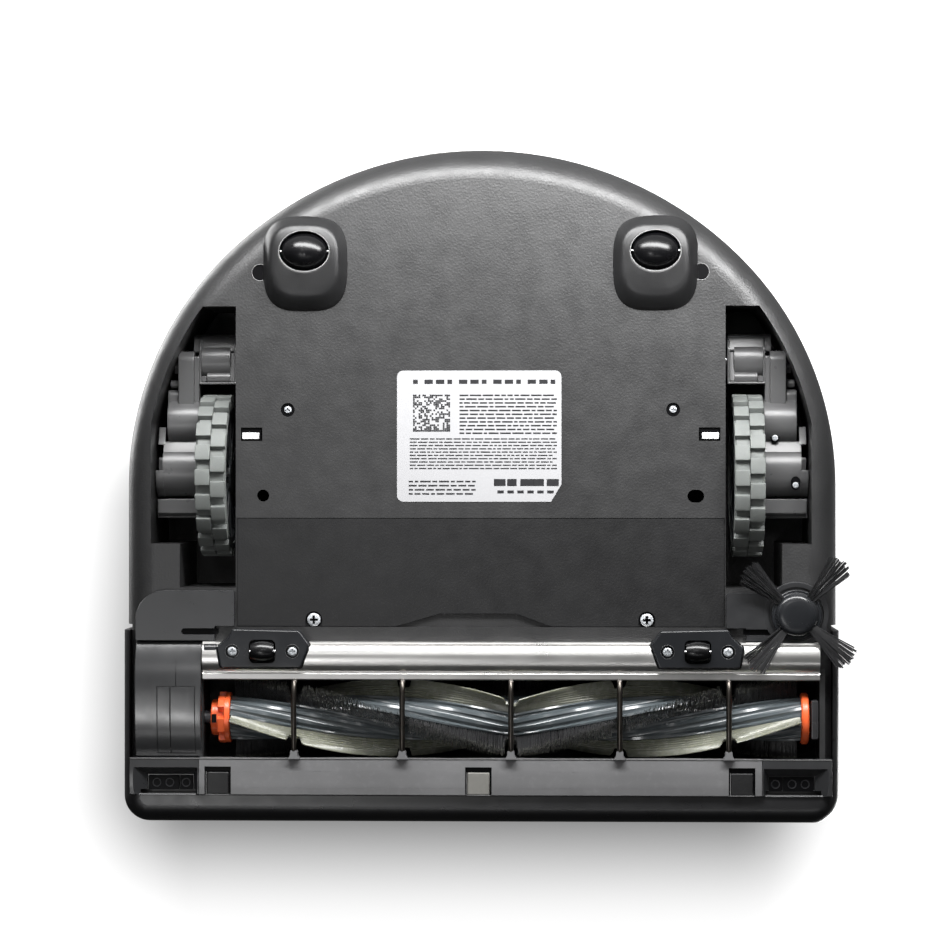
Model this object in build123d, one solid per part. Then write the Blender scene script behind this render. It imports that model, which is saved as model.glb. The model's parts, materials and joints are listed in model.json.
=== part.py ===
from build123d import *
import os
from math import asin, atan2, cos, degrees, hypot, radians, sin, sqrt

# D-shaped robot vacuum, standing on its wheels. Millimetres.
# +Z up, +Y to the rounded back, +X to the robot's left. The origin lies on the floor,
# midway between the two drive wheels.

# Plan of the body: a broad back arc, two side arcs and straight sides
BACK_R = 171.0
BACK_CY = -19.5
SIDE_R = 150.0
HALF_W = 164.8
NOSE_HALF_W = 162.1
NOSE_STEP_Y = -69.2
NOSE_Y = -153.2
NOSE_CORNER = 9.0
WALL = 2.5

# Heights
PAN_Z = 12.0
PAN_FLOOR = 2.5
SPLIT_Z = 46.0
DECK_Z = 82.0
BELLY_ROUND = 14.0
DECK_ROUND = 8.0

# Drive wheels and their swing arms
WHEEL_R = 38.0
LUG_DEPTH = 2.0
LUGS = 20
TYRE_W = 14.0
WHEEL_X = 124.1
RIM_R = 32.0
AXLE_R = 4.0
ARM_PIVOT = (54.0, 42.0)
ARM_IN_X = 114.7
ARM_PLATE_X = 131.5
ARM_PLATE_T = 4.0
ARM_HUB_R = 11.0
ARM_PIN_R = 2.5
GEARBOX_R = 14.0
GEARBOX_END_X = 152.2
MOTOR_R = 12.0
MOTOR_Y = 28.2
MOTOR_Z = 36.0
MOTOR_END_X = 146.8
FIT = 0.05

# Wheel wells
WELL_IN_X = 113.2
WELL_REAR_Y = 78.4
WELL_FRONT_Y = -52.0
WELL_STEP_Y = -31.6
WELL_STEP_X = 139.3
WELL_RIM = 9.0
WELL_OUT_X = 152.8
WELL_TUBE_Z = 14.4
WELL_ROOF_Z = 79.0
WELL_ROOF_T = 2.0

# Rear casters
CASTER_X = 80.9
CASTER_Y = 103.4
CASTER_R = 8.5
CASTER_HALF_L = 10.4
CASTER_EGG_REACH = 11.5
CASTER_PIN_R = 1.2
CASTER_LIP_Z = 5.5

# Main brush and its bay
BRUSH_Y = -112.5
BRUSH_Z = 20.0
BRUSH_R = 19.0
FLAP_R = 18.0
CORE_R = 9.5
BRUSH_LEFT_X = 115.8
BRUSH_RIGHT_X = -147.9
CHEVRON_TWIST = 150.0
FLAP_TURNS = (119.0, 299.0)
BRISTLE_TURNS = (207.0, 27.0)
BAY_LEFT_X = 128.3
BAY_RIGHT_X = -156.4
BAY_REAR_Y = -94.8
BAY_FRONT_Y = -130.3
BAY_R = 21.0
BAY_WALL = 2.5

# Brush guard
WIRE_R = 1.15
WIRE_Z = 3.9
WIRE_PITCH = 50.0
WIRE_MID_X = -14.4
WIRE_GROOVE = 6.0
WIRE_GROOVE_R = 14.5
BAR_REAR_Y = -76.6
BAR_FRONT_Y = -90.2
BAR_Z = 4.8
LIP_FRONT_Y = -94.4
BLOCK_Z = 4.2
BLOCK_X = 100.2
BLOCK_Y = -81.0
BLOCK_SCREW_X = 13.9
GUARD_ROLLER_R = 4.95
GUARD_ROLLER_HALF_L = 5.3
GUARD_ROLLER_Z = 5.5
GUARD_PIN_R = 0.8

# Belt drive of the brush
MOTOR_PULLEY_Y = -68.5
MOTOR_PULLEY_Z = 31.0
BELT_X = (147.0, 155.0)
BELT_T = 1.2
MOTOR_PULLEY_R = 5.0
BRUSH_PULLEY_R = 9.0
BRUSH_MOTOR_R = 12.5

# Side blocks under the front corners, and the rounded housing over the belt drive
BLOCK_OUT_X = 159.6
BLOCK_TOP_Y = -53.0
BLOCK_MID_Y = -76.3
BLOCK_FLAT_Z = 8.5
HOUSING_R = 40.0
HOUSING_Y = -104.0
HOUSING_Z = 45.5

# Side brush
SIDE_X = -145.5
SIDE_Y = -63.9
SIDE_HUB_R = 10.0
TUFT_R = 33.5
TUFTS = 4
TUFT_TURN = 41.0

# Front strip with its sensor recesses and square pads
STRIP_Z = 6.0
STRIP_FRONT_Y = -147.5
STRIP_SHEET = 2.2
STRIP_REAR_OF_LIP = -145.2
CLIFF_X = (130.0, 158.3)
CLIFF_Y = (-150.3, -131.6)
PAD_XS = (121.0, 0.6, -120.5)
PAD_Y = -141.0
PAD_SIDE = 10.7

# Bumper
BUMPER_HALF_W = 165.5
BUMPER_Y = -160.3
BUMPER_CORNER = 12.0
BUMPER_T = 3.0
BUMPER_REAR_Y = -71.6
BUMPER_LIP_Z = 8.6
BUMPER_TOP_Z = 70.0
BUMPER_ROUND = 8.0

# Battery bay and its cover
COVER_REAR_Y = -19.6
COVER_FRONT_Y = -70.0
COVER_T = 2.0
BATTERY = (190.0, 33.0, 20.0)

# Dust bin
BIN_X = 98.0
BIN_Y = (-146.0, -34.0)
BIN_Z = (49.5, 79.0)
BIN_WALL = 1.8

# Laser turret
TURRET_Y = 85.0
TURRET_R = 45.0
TURRET_TOP_Z = 100.0
HEAD_R = 36.0

# Blower
FAN_X = 48.0
FAN_Y = 22.0
FAN_R = 34.0
IMPELLER_R = 28.0

# Buttons on the deck
BUTTON_XS = (-24.0, 24.0)
BUTTON_Y = 2.0
BUTTON_R = 8.0

SIDES = {"left": 1, "right": -1}


# --- small helpers -------------------------------------------------------------------

def block(x0, x1, y0, y1, z0, z1):
    """Box between two corners."""
    centre = ((x0 + x1) / 2, (y0 + y1) / 2, (z0 + z1) / 2)
    return Pos(*centre) * Box(abs(x1 - x0), abs(y1 - y0), abs(z1 - z0))


def rod_x(x0, x1, y, z, radius):
    """Cylinder along X."""
    return Pos((x0 + x1) / 2, y, z) * Rot(0, 90, 0) * Cylinder(radius, abs(x1 - x0))


def rod_z(x, y, z0, z1, radius):
    """Cylinder along Z."""
    return Pos(x, y, (z0 + z1) / 2) * Cylinder(radius, z1 - z0)


def prism(points, z0, z1):
    """Polygon in plan, raised from z0 to z1."""
    face = make_face(Polyline(*points, close=True))
    return Pos(0, 0, z0) * extrude(face, z1 - z0)


def plan_face(inset=0.0, front=NOSE_Y):
    """D-shaped plan, drawn in by inset and cut square at the front."""
    drop = (BACK_R - HALF_W) * (BACK_R + HALF_W - 2 * SIDE_R)
    side_cy = BACK_CY + sqrt(drop)
    side_cx = HALF_W - SIDE_R
    turn = atan2(side_cy - BACK_CY, side_cx)
    back_r = BACK_R - inset
    side_r = SIDE_R - inset
    shoulder = (back_r * cos(turn), BACK_CY + back_r * sin(turn))
    half = turn / 2
    mid_side = (side_cx + side_r * cos(half), side_cy + side_r * sin(half))
    waist = (HALF_W - inset, side_cy)
    corner = (HALF_W - inset, front)

    def left(point):
        return (-point[0], point[1])

    outline = [
        Line(corner, waist),
        ThreePointArc(waist, mid_side, shoulder),
        ThreePointArc(shoulder, (0, BACK_CY + back_r), left(shoulder)),
        ThreePointArc(left(shoulder), left(mid_side), left(waist)),
        Line(left(waist), left(corner)),
        Line(left(corner), corner),
    ]
    return make_face(outline)


def plan_solid(inset, z0, z1, front=NOSE_Y):
    """The plan raised from z0 to z1."""
    return Pos(0, 0, z0) * extrude(plan_face(inset, front), z1 - z0)


def nose_trim(inset, z0, z1):
    """What the nose loses at its sides and corners, where the bumper lies."""
    width = HALF_W + 5
    half = NOSE_HALF_W - inset
    rear = NOSE_STEP_Y - inset
    front = NOSE_Y + inset
    slivers = []
    for hand in (1, -1):
        slivers.append(block(hand * half, hand * width, NOSE_Y - 5, rear, z0, z1))
        x = half - NOSE_CORNER
        y = front + NOSE_CORNER
        corner = block(hand * x, hand * (half + 1), front - 1, y, z0, z1)
        slivers.append(corner - rod_z(hand * x, y, z0 - 1, z1 + 1, NOSE_CORNER))
    return slivers


def rounded_rim(solid, z, radius):
    """Round the back and side edges of a plan solid at height z."""
    rim = [
        edge
        for edge in solid.edges().filter_by_position(Axis.Z, z - 0.01, z + 0.01)
        if edge.center().Y > NOSE_Y + 1
    ]
    return fillet(rim, radius)


def well_outline(inset=0.0):
    """Plan of the left wheel well, following the body's side."""
    inner = plan_face(WELL_RIM + inset)
    low = WELL_IN_X + inset
    high = WELL_OUT_X - inset
    rear = make_face(
        Polyline(
            (low, WELL_REAR_Y - inset),
            (high, WELL_REAR_Y - inset),
            (high, WELL_STEP_Y + inset),
            (WELL_STEP_X - inset, WELL_STEP_Y + inset),
            (WELL_STEP_X - inset, WELL_FRONT_Y + inset),
            (low, WELL_FRONT_Y + inset),
            close=True,
        )
    )
    return inner & rear


def both_hands(solid):
    """A solid and its mirror image across the middle plane."""
    return [solid, mirror(solid, Plane.YZ)]


def save(name, shape):
    """Write one node, as one solid or a group of separate solids."""
    solids = shape.solids() if hasattr(shape, "solids") else shape
    solids = [s for item in solids for s in item.solids()]
    whole = solids[0] if len(solids) == 1 else Compound(children=solids)
    export_step(whole, f"parts/{name}.step")


# --- lower body ----------------------------------------------------------------------

def battery_pocket():
    """Space for the battery, open at the bottom."""
    length, width, height = BATTERY
    mid_y = (COVER_REAR_Y + COVER_FRONT_Y) / 2
    return block(
        -length / 2 - 1, length / 2 + 1,
        mid_y - width / 2 - 1, mid_y + width / 2 + 1,
        PAN_Z - 1, PAN_Z + PAN_FLOOR + height + 1,
    )


def screw_places():
    """The two cover screws and the two plate screws."""
    return [(77.0, -66.7), (-77.0, -66.7), (89.1, 30.4), (-89.1, 30.4)]


def caster_bump(hand):
    """D-shaped boss round one caster, tapering towards the floor."""
    foot = Pos(0, 0, PAN_Z + 0.5) * RectangleRounded(38.0, 43.0, 14.0)
    top = Pos(0, 1.5, CASTER_LIP_Z) * RectangleRounded(30.5, 32.0, 12.0)
    boss = loft([foot, top])
    tower = Pos(0, 5.5, 16.5) * Box(30.0, 26.0, 9.0)
    return Pos(hand * CASTER_X, CASTER_Y - 5.5, 0) * (boss + tower)


def caster_pocket(hand):
    """Oval pocket and pin hole of one caster."""
    oval = Pos(hand * CASTER_X, CASTER_Y, 0) * Ellipse(CASTER_HALF_L + 1.2, CASTER_R + 0.9)
    pocket = extrude(oval, 19.0)
    reach = CASTER_HALF_L + 3.5
    x = hand * CASTER_X
    hole = rod_x(x - reach, x + reach, CASTER_Y, CASTER_R, CASTER_PIN_R)
    return pocket + hole


def brush_bay_box():
    """Outer block of the brush bay."""
    return block(
        BAY_RIGHT_X - BAY_WALL, BAY_LEFT_X + BAY_WALL,
        BRUSH_Y - BAY_R - BAY_WALL, BRUSH_Y + BAY_R + BAY_WALL,
        PAN_Z, BRUSH_Z + BAY_R + BAY_WALL,
    )


def brush_bay_hollow():
    """Round trough for the brush, its mouth, and the duct up to the dust bin."""
    trough = rod_x(BAY_RIGHT_X, BAY_LEFT_X, BRUSH_Y, BRUSH_Z, BAY_R)
    mouth = block(BAY_RIGHT_X, BAY_LEFT_X, BAY_FRONT_Y, BAY_REAR_Y, PAN_Z - 1, BRUSH_Z)
    duct = block(-60.0, 60.0, BRUSH_Y - 8, BRUSH_Y + 8, BRUSH_Z, SPLIT_Z)
    shaft_hole = rod_x(BAY_LEFT_X - 1, BAY_LEFT_X + 4, BRUSH_Y, BRUSH_Z, 3.4)
    return trough + mouth + duct + shaft_hole


def well_tube(hand):
    """Walls and roof of one wheel well."""
    height = WELL_ROOF_Z - WELL_TUBE_Z
    outer = extrude(well_outline(-WALL), height)
    body = plan_solid(0.5, 0, height)
    tube = Pos(0, 0, WELL_TUBE_Z) * (outer & body)
    return tube if hand > 0 else mirror(tube, Plane.YZ)


def well_hollow(hand):
    """Space inside one wheel well, open at the bottom."""
    depth = WELL_ROOF_Z - WELL_ROOF_T - PAN_Z + 8
    hollow = Pos(0, 0, PAN_Z - 8) * extrude(well_outline(), depth)
    return hollow if hand > 0 else mirror(hollow, Plane.YZ)


def arm_lug(hand):
    """Lug that carries the outer end of one arm pin."""
    y, z = ARM_PIVOT
    x0, x1 = sorted((hand * 141.6, hand * 144.6))
    return block(x0, x1, y - 6, y + 6, z - 6, WELL_ROOF_Z - WELL_ROOF_T)


def arm_pin_hole(hand):
    """Hole through the well's inner wall and the lug."""
    y, z = ARM_PIVOT
    x0, x1 = sorted((hand * (WELL_IN_X - WALL - 1), hand * 146))
    return rod_x(x0, x1, y, z, ARM_PIN_R)


def base_pan():
    """Lower tray with wells, brush bay, caster bumps and battery pocket."""
    outer = rounded_rim(plan_solid(0, PAN_Z, SPLIT_Z), PAN_Z, BELLY_ROUND)
    inner = plan_solid(WALL, PAN_Z + PAN_FLOOR, SPLIT_Z + 1, NOSE_Y + WALL)
    inner = rounded_rim(inner, PAN_Z + PAN_FLOOR, BELLY_ROUND - WALL)
    for sliver in nose_trim(0, 0, SPLIT_Z + 1):
        outer -= sliver
    for sliver in nose_trim(WALL, 0, SPLIT_Z + 2):
        inner -= sliver
    pan = outer - inner
    for hand in (1, -1):
        pan += well_tube(hand)
        pan += caster_bump(hand)
    pan += brush_bay_box()
    length, width, height = BATTERY
    mid_y = (COVER_REAR_Y + COVER_FRONT_Y) / 2
    pan += block(
        -length / 2 - 3, length / 2 + 3, mid_y - width / 2 - 3, mid_y + width / 2 + 3,
        PAN_Z, PAN_Z + PAN_FLOOR + height + 3,
    )
    pan -= battery_pocket()
    pan -= brush_bay_hollow()
    cover_gap = 0.4
    pan -= block(
        -WELL_IN_X + cover_gap, WELL_IN_X - cover_gap,
        COVER_FRONT_Y, COVER_REAR_Y, PAN_Z - 1, PAN_Z + COVER_T,
    )
    for hand in (1, -1):
        pan -= well_hollow(hand)
        pan += arm_lug(hand)
        pan -= arm_pin_hole(hand)
        pan -= caster_pocket(hand)
        pan -= rod_z(hand * 101.9, 94.0, PAN_Z - 1, PAN_Z + PAN_FLOOR + 1, 3.7)
    for x, y in screw_places():
        pan -= rod_z(x, y, PAN_Z - 1, PAN_Z + PAN_FLOOR + 1, 1.6)
        pan += rod_z(x, y, PAN_Z + PAN_FLOOR, PAN_Z + 12, 4.0) - rod_z(x, y, PAN_Z, PAN_Z + 11, 1.6)
    pan -= rod_z(100.5, -9.3, PAN_Z - 1, PAN_Z + 4, 2.8)
    pan -= Pos(-99.5, -9.5, PAN_Z - 1) * extrude(SlotOverall(7.7, 5.9), 5)
    for hand in (1, -1):
        pan -= block(hand * 100.9, hand * 110.8, 16.0, 22.2, PAN_Z - 1, PAN_Z + 4)
    for x, y in screw_places()[2:]:
        pan -= rod_z(x, y, PAN_Z - 1, PAN_Z + 1.2, 3.2)
    pan -= rod_z(SIDE_X, SIDE_Y, PAN_Z - 1, PAN_Z + 4, 4.4)
    pan -= block(BELT_X[0] - 2, BELT_X[1] + 2, BRUSH_Y - 13, BRUSH_Y + 19, PAN_Z - 1, PAN_Z + 4)
    for z in (38.0, 48.0):
        pan -= contact_strip(z, grow=0.0)
    pan -= grille_window()
    return pan


def contact_strip(z, grow):
    """One charging strip, bent round the back of the body."""
    outer = Circle(BACK_R + 2.6 + grow)
    inner = Circle(BACK_R - 1.2 - grow)
    half = degrees(asin(25.4 / BACK_R))
    band = Pos(0, BACK_CY, z) * extrude(outer - inner, 6.0)
    reach = BACK_R * 1.1
    edge = reach * sin(radians(half))
    return band & block(-edge / 1.1, edge / 1.1, 100, 200, z - 1, z + 8)


def charge_contacts():
    """The two metal strips that meet the dock."""
    return [contact_strip(38.0, 0.0), contact_strip(48.0, 0.0)]


def grille_window():
    """Opening in the left rear wall for the exhaust grille."""
    window = block(BACK_R - 12, BACK_R + 6, -24, 24, 28, 40)
    return Pos(0, BACK_CY, 0) * Rot(0, 0, 52) * window


def exhaust_grille():
    """Slotted plate that fills the exhaust opening."""
    band = extrude(Circle(BACK_R) - Circle(BACK_R - 2.0), 60)
    plate = band & block(BACK_R - 12, BACK_R + 6, -23.8, 23.8, 28.2, 39.8)
    for index in range(9):
        y = -19.2 + 4.8 * index
        plate -= block(BACK_R - 20, BACK_R + 8, y - 1.1, y + 1.1, 30, 38)
    return Pos(0, BACK_CY, 0) * Rot(0, 0, 52) * plate


def battery_cover():
    """Service cover under the battery, with a raised step in its front edge."""
    edge = 0.7
    x = WELL_IN_X - edge
    rear = COVER_REAR_Y - 0.3
    front = COVER_FRONT_Y + 0.3
    points = [
        (x, rear), (x, front), (39.0, front), (18.6, front + 6.0),
        (-16.5, front + 6.0), (-33.0, front), (-x, front), (-x, rear),
    ]
    cover = prism(points, PAN_Z, PAN_Z + COVER_T)
    for x, y in screw_places()[:2]:
        cover -= rod_z(x, y, PAN_Z - 1, PAN_Z + 3, 1.6)
        cover -= rod_z(x, y, PAN_Z - 1, PAN_Z + 1.2, 3.9)
        cover -= block(x - 3.9, x + 3.9, y - 6, y, PAN_Z - 1, PAN_Z + 1.2)
    return cover


def underside_screws():
    """Zinc pan-head screws of the plate and the cover."""
    screws = []
    for x, y in screw_places():
        head = Pos(x, y, PAN_Z + 1.2) * Rot(180, 0, 0) * screw_head(2.8, 1.6)
        screws.append(head + rod_z(x, y, PAN_Z + 1.2, PAN_Z + 10, 1.6))
    return screws


def screw_head(radius, height):
    """Domed head with a cross recess, standing on its own base plane."""
    head = Pos(0, 0, height / 2) * Cylinder(radius, height)
    head = fillet(head.edges().group_by(Axis.Z)[-1], height * 0.6)
    for turn in (0, 90):
        head -= Rot(0, 0, turn) * Pos(0, 0, height) * Box(radius * 1.1, radius * 0.25, height)
    return head


def battery_pack():
    """Row of cells in a wrapped pack."""
    length, width, height = BATTERY
    mid_y = (COVER_REAR_Y + COVER_FRONT_Y) / 2
    base = PAN_Z + COVER_T + 0.2
    pack = block(-length / 2, length / 2, mid_y - width / 2, mid_y + width / 2, base, base + height)
    return fillet(pack.edges().filter_by(Axis.X), 6.0)


def rating_label():
    """Thin label with three round corners and one cut corner."""
    points = [(38.4, 48.5), (38.4, -12.1), (-32.8, -12.1), (-37.6, -4.0), (-37.6, 48.5)]
    label = prism(points, PAN_Z - 0.2, PAN_Z)
    corners = [
        edge
        for edge in label.edges().filter_by(Axis.Z)
        if edge.center().Y > 0 or edge.center().X > 0
    ]
    return fillet(corners, 3.0)


def drop_windows():
    """Clear windows of the two drop sensors in the plate."""
    return both_hands(block(101.3, 110.4, 16.4, 21.8, PAN_Z + 0.6, PAN_Z + PAN_FLOOR))


def main_board():
    """Circuit board on its posts, with the larger chips and connectors."""
    board = block(-96, -16, -12, 56, 40.0, 41.6)
    for x, y, side, height in ((-70, 30, 14, 1.6), (-40, 10, 10, 1.4), (-80, 0, 8, 6), (-30, 44, 12, 7)):
        board += block(x - side / 2, x + side / 2, y - side / 2, y + side / 2, 41.6, 41.6 + height)
    for x, y in ((-92, -8), (-20, -8), (-92, 52), (-20, 52)):
        board += rod_z(x, y, PAN_Z + PAN_FLOOR, 40.0, 3.0)
    return board


# --- blower --------------------------------------------------------------------------

def fan_housing():
    """Scroll housing, open at its eye and at its outlet towards the grille."""
    outer = rod_z(FAN_X, FAN_Y, 18.0, 46.0, FAN_R)
    outer += block(FAN_X, FAN_X + FAN_R, FAN_Y, FAN_Y + 55, 18.0, 46.0)
    inner = rod_z(FAN_X, FAN_Y, 20.0, 44.0, FAN_R - 2)
    inner += block(FAN_X + 2, FAN_X + FAN_R - 2, FAN_Y, FAN_Y + 60, 20.0, 44.0)
    feet = rod_z(FAN_X, FAN_Y, PAN_Z + PAN_FLOOR, 18.0, 10.0)
    return outer - inner - rod_z(FAN_X, FAN_Y, 40.0, 50.0, 15.0) + feet


def fan_motor():
    """Flat motor inside the housing, with its shaft."""
    return rod_z(FAN_X, FAN_Y, 20.0, 28.0, 12.0) + rod_z(FAN_X, FAN_Y, 28.0, 41.0, 2.0)


def fan_impeller():
    """Bladed disc that turns on the motor's shaft."""
    disc = rod_z(FAN_X, FAN_Y, 29.0, 31.0, IMPELLER_R)
    hub = rod_z(FAN_X, FAN_Y, 29.0, 39.0, 5.0)
    blades = []
    for index in range(12):
        blade = Rot(0, 0, 30 * index) * Pos(16.0, 0, 35.5) * Rot(0, 0, 35) * Box(17.0, 1.4, 9.0)
        blades.append(Pos(FAN_X, FAN_Y, 0) * blade)
    wheel = disc + hub + blades
    return wheel - rod_z(FAN_X, FAN_Y, 28.0, 42.0, 2.0 + FIT)


# --- upper body ----------------------------------------------------------------------

def deck_brim():
    """Brim of the deck that reaches over the bumper's top edge."""
    half = BUMPER_HALF_W - 0.4
    front = BUMPER_Y + 0.4
    plan = block(-half, half, front, NOSE_STEP_Y, BUMPER_TOP_Z + 0.5, DECK_Z)
    corners = [e for e in plan.edges().filter_by(Axis.Z) if e.center().Y < NOSE_Y]
    brim = fillet(corners, BUMPER_CORNER)
    top = [e for e in brim.edges().group_by(Axis.Z)[-1] if e.center().Y < NOSE_STEP_Y - 1]
    return fillet(top, DECK_ROUND)


def top_cover():
    """Upper shell with the bin bay and the openings for turret and buttons."""
    outer = rounded_rim(plan_solid(0, SPLIT_Z, DECK_Z), DECK_Z, DECK_ROUND)
    inner = plan_solid(WALL, SPLIT_Z - 1, DECK_Z - WALL, NOSE_Y + WALL)
    inner = rounded_rim(inner, DECK_Z - WALL, DECK_ROUND - WALL)
    for sliver in nose_trim(0, 0, DECK_Z + 1):
        outer -= sliver
    for sliver in nose_trim(WALL, 0, DECK_Z):
        inner -= sliver
    shell = deck_brim() + outer - inner
    gap = 0.6
    bay_x = BIN_X + gap
    bay_y0, bay_y1 = BIN_Y[0] - gap, BIN_Y[1] + gap
    bay_z = BIN_Z[0] - 0.3
    wall = 1.8
    shell += block(-bay_x - wall, bay_x + wall, bay_y0 - wall, bay_y1 + wall, bay_z - wall, DECK_Z)
    shell -= block(-bay_x, bay_x, bay_y0, bay_y1, bay_z, DECK_Z + 1)
    # the bay's floor ends behind the brush duct
    shell -= block(-bay_x, bay_x, bay_y0, BRUSH_Y + 8, SPLIT_Z - 1, bay_z + 1)
    shell -= rod_z(0, TURRET_Y, DECK_Z - 5, DECK_Z + 1, HEAD_R + 2)
    for x in BUTTON_XS:
        shell -= rod_z(x, BUTTON_Y, DECK_Z - 5, DECK_Z + 1, BUTTON_R + 0.3)
    for hand in (1, -1):
        well = Pos(0, 0, SPLIT_Z - 1) * extrude(well_outline(-WALL - 0.2), WELL_ROOF_Z - SPLIT_Z + 1.2)
        shell -= well if hand > 0 else mirror(well, Plane.YZ)
    shell -= contact_strip(48.0, grow=0.0)
    return shell


def button(x):
    """Round press button with a collar that keeps it under the deck."""
    cap = rod_z(x, BUTTON_Y, DECK_Z - 4.0, DECK_Z + 1.0, BUTTON_R)
    cap = fillet(cap.edges().group_by(Axis.Z)[-1], 0.6)
    collar = rod_z(x, BUTTON_Y, DECK_Z - 6.0, DECK_Z - 4.0, BUTTON_R + 1.2)
    return cap + collar


def turret_cap():
    """Fixed lid of the turret on its three posts."""
    ring = rod_z(0, TURRET_Y, DECK_Z, DECK_Z + 3, TURRET_R)
    ring -= rod_z(0, TURRET_Y, DECK_Z - 1, DECK_Z + 4, HEAD_R + 2)
    lid = rod_z(0, TURRET_Y, TURRET_TOP_Z - 4, TURRET_TOP_Z, TURRET_R - 2)
    lid = fillet(lid.edges().group_by(Axis.Z)[-1], 2.5)
    posts = []
    for turn in (30, 150, 270):
        post = block(HEAD_R + 2.8, HEAD_R + 6.3, -4.5, 4.5, DECK_Z + 0.5, TURRET_TOP_Z - 3.5)
        post = Pos(0, TURRET_Y, 0) * Rot(0, 0, turn) * post
        posts.append(post)
    return ring + lid + posts


def turret_head():
    """Spinning laser head with two lens windows and its spindle."""
    head = rod_z(0, TURRET_Y, DECK_Z - 1, TURRET_TOP_Z - 5, HEAD_R)
    head = fillet(head.edges().group_by(Axis.Z)[-1], 2.0)
    for x in (-12.0, 12.0):
        head -= block(x - 6, x + 6, TURRET_Y - HEAD_R - 1, TURRET_Y - HEAD_R + 8, DECK_Z + 2, DECK_Z + 11)
    return head + rod_z(0, TURRET_Y, 52.0, DECK_Z - 1, 2.0)


def turret_motor():
    """Motor under the turret, in a cradle that stands on the tray."""
    can = rod_z(0, TURRET_Y, 42.0, 66.0, 13.0)
    cradle = rod_z(0, TURRET_Y, PAN_Z + PAN_FLOOR, 42.0, 8.0)
    return can + cradle - rod_z(0, TURRET_Y, 50.0, 67.0, 2.0 + FIT)


# --- dust bin ------------------------------------------------------------------------

def bin_tub():
    """Open dust tub, with the inlet over the brush duct and the outlet to the blower."""
    tub = block(-BIN_X, BIN_X, *BIN_Y, *BIN_Z)
    tub = fillet(tub.edges().filter_by(Axis.Z), 5.0)
    tub -= block(
        -BIN_X + BIN_WALL, BIN_X - BIN_WALL,
        BIN_Y[0] + BIN_WALL, BIN_Y[1] - BIN_WALL,
        BIN_Z[0] + BIN_WALL, BIN_Z[1] + 1,
    )
    tub -= block(-58.0, 58.0, BRUSH_Y - 7, BRUSH_Y + 7, BIN_Z[0] - 1, BIN_Z[0] + 3)
    tub -= block(20.0, 84.0, BIN_Y[1] - 3, BIN_Y[1] + 1, BIN_Z[0] + 5, BIN_Z[1] - 5)
    return tub


def bin_lid():
    """Lid flush with the deck, hinged along its front edge, with a finger scoop at its rear."""
    gap = 0.2
    lid = block(-BIN_X, BIN_X, *BIN_Y, BIN_Z[1] + gap, DECK_Z)
    lid = fillet(lid.edges().filter_by(Axis.Z), 5.0)
    scoop = Pos(0, BIN_Y[1] - 10, DECK_Z + 10) * Sphere(12.0)
    return lid - scoop


def bin_filter():
    """Pleated filter block that hangs under the lid at the blower's side."""
    y1 = BIN_Y[1] - BIN_WALL - 4.5
    frame = block(16.0, 88.0, y1 - 12, y1, BIN_Z[0] + 4, BIN_Z[1] + 0.2)
    pleats = 12
    step = 68.0 / pleats
    for index in range(pleats):
        x = 18.0 + step * (index + 0.5)
        frame -= block(x - step / 4, x + step / 4, y1 - 14, y1 - 6, BIN_Z[0] + 6, BIN_Z[1] - 2)
    return frame


# --- front end -----------------------------------------------------------------------

def bumper_plan(inset, rear):
    """Plan of the bumper's skin, open towards the back."""
    half = BUMPER_HALF_W - inset
    front = BUMPER_Y + inset
    face = make_face(Polyline((half, rear), (half, front), (-half, front), (-half, rear), close=True))
    corners = [v for v in face.vertices() if v.Y < NOSE_Y]
    return fillet(corners, BUMPER_CORNER - inset)


def bumper():
    """Sprung skin round the front and sides, with a lip under the nose."""
    height = BUMPER_TOP_Z - BUMPER_LIP_Z
    outer = Pos(0, 0, BUMPER_LIP_Z) * extrude(bumper_plan(0, BUMPER_REAR_Y), height)
    low = [
        edge
        for edge in outer.edges().group_by(Axis.Z)[0]
        if edge.center().Y < BUMPER_REAR_Y - 1
    ]
    outer = fillet(low, BUMPER_ROUND)
    hollow = bumper_plan(BUMPER_T, BUMPER_REAR_Y + 5)
    inner = Pos(0, 0, BUMPER_LIP_Z + 2.0) * extrude(hollow, height)
    low = [
        edge
        for edge in inner.edges().group_by(Axis.Z)[0]
        if edge.center().Y < BUMPER_REAR_Y - 1
    ]
    inner = fillet(low, BUMPER_ROUND - BUMPER_T)
    skin = outer - inner
    side = BUMPER_HALF_W - BUMPER_T
    belly_cut_z = BUMPER_LIP_Z + 2.0 + BUMPER_ROUND
    skin -= block(-side, side, STRIP_FRONT_Y - 0.3, BUMPER_REAR_Y + 5, BUMPER_LIP_Z - 1, belly_cut_z)
    return skin


def bumper_springs():
    """Two coil springs between the nose and the bumper."""
    length = NOSE_Y - (BUMPER_Y + BUMPER_T)
    mid = (NOSE_Y + BUMPER_Y + BUMPER_T) / 2
    coil = Cylinder(4.0, length - 0.2) - Cylinder(3.0, length)
    return both_hands(Pos(90.0, mid, 30.0) * Rot(90, 0, 0) * coil)


def pyramid(hand):
    """Sloping recess round one cliff sensor."""
    x0, x1 = CLIFF_X
    y0, y1 = CLIFF_Y
    mouth = Pos(hand * (x0 + x1) / 2, (y0 + y1) / 2, STRIP_Z - 0.01) * Rectangle(x1 - x0, y1 - y0)
    floor = Pos(hand * 143.2, -142.6, STRIP_Z + 4.0) * Rectangle(21.6, 8.8)
    return loft([mouth, floor])


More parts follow.
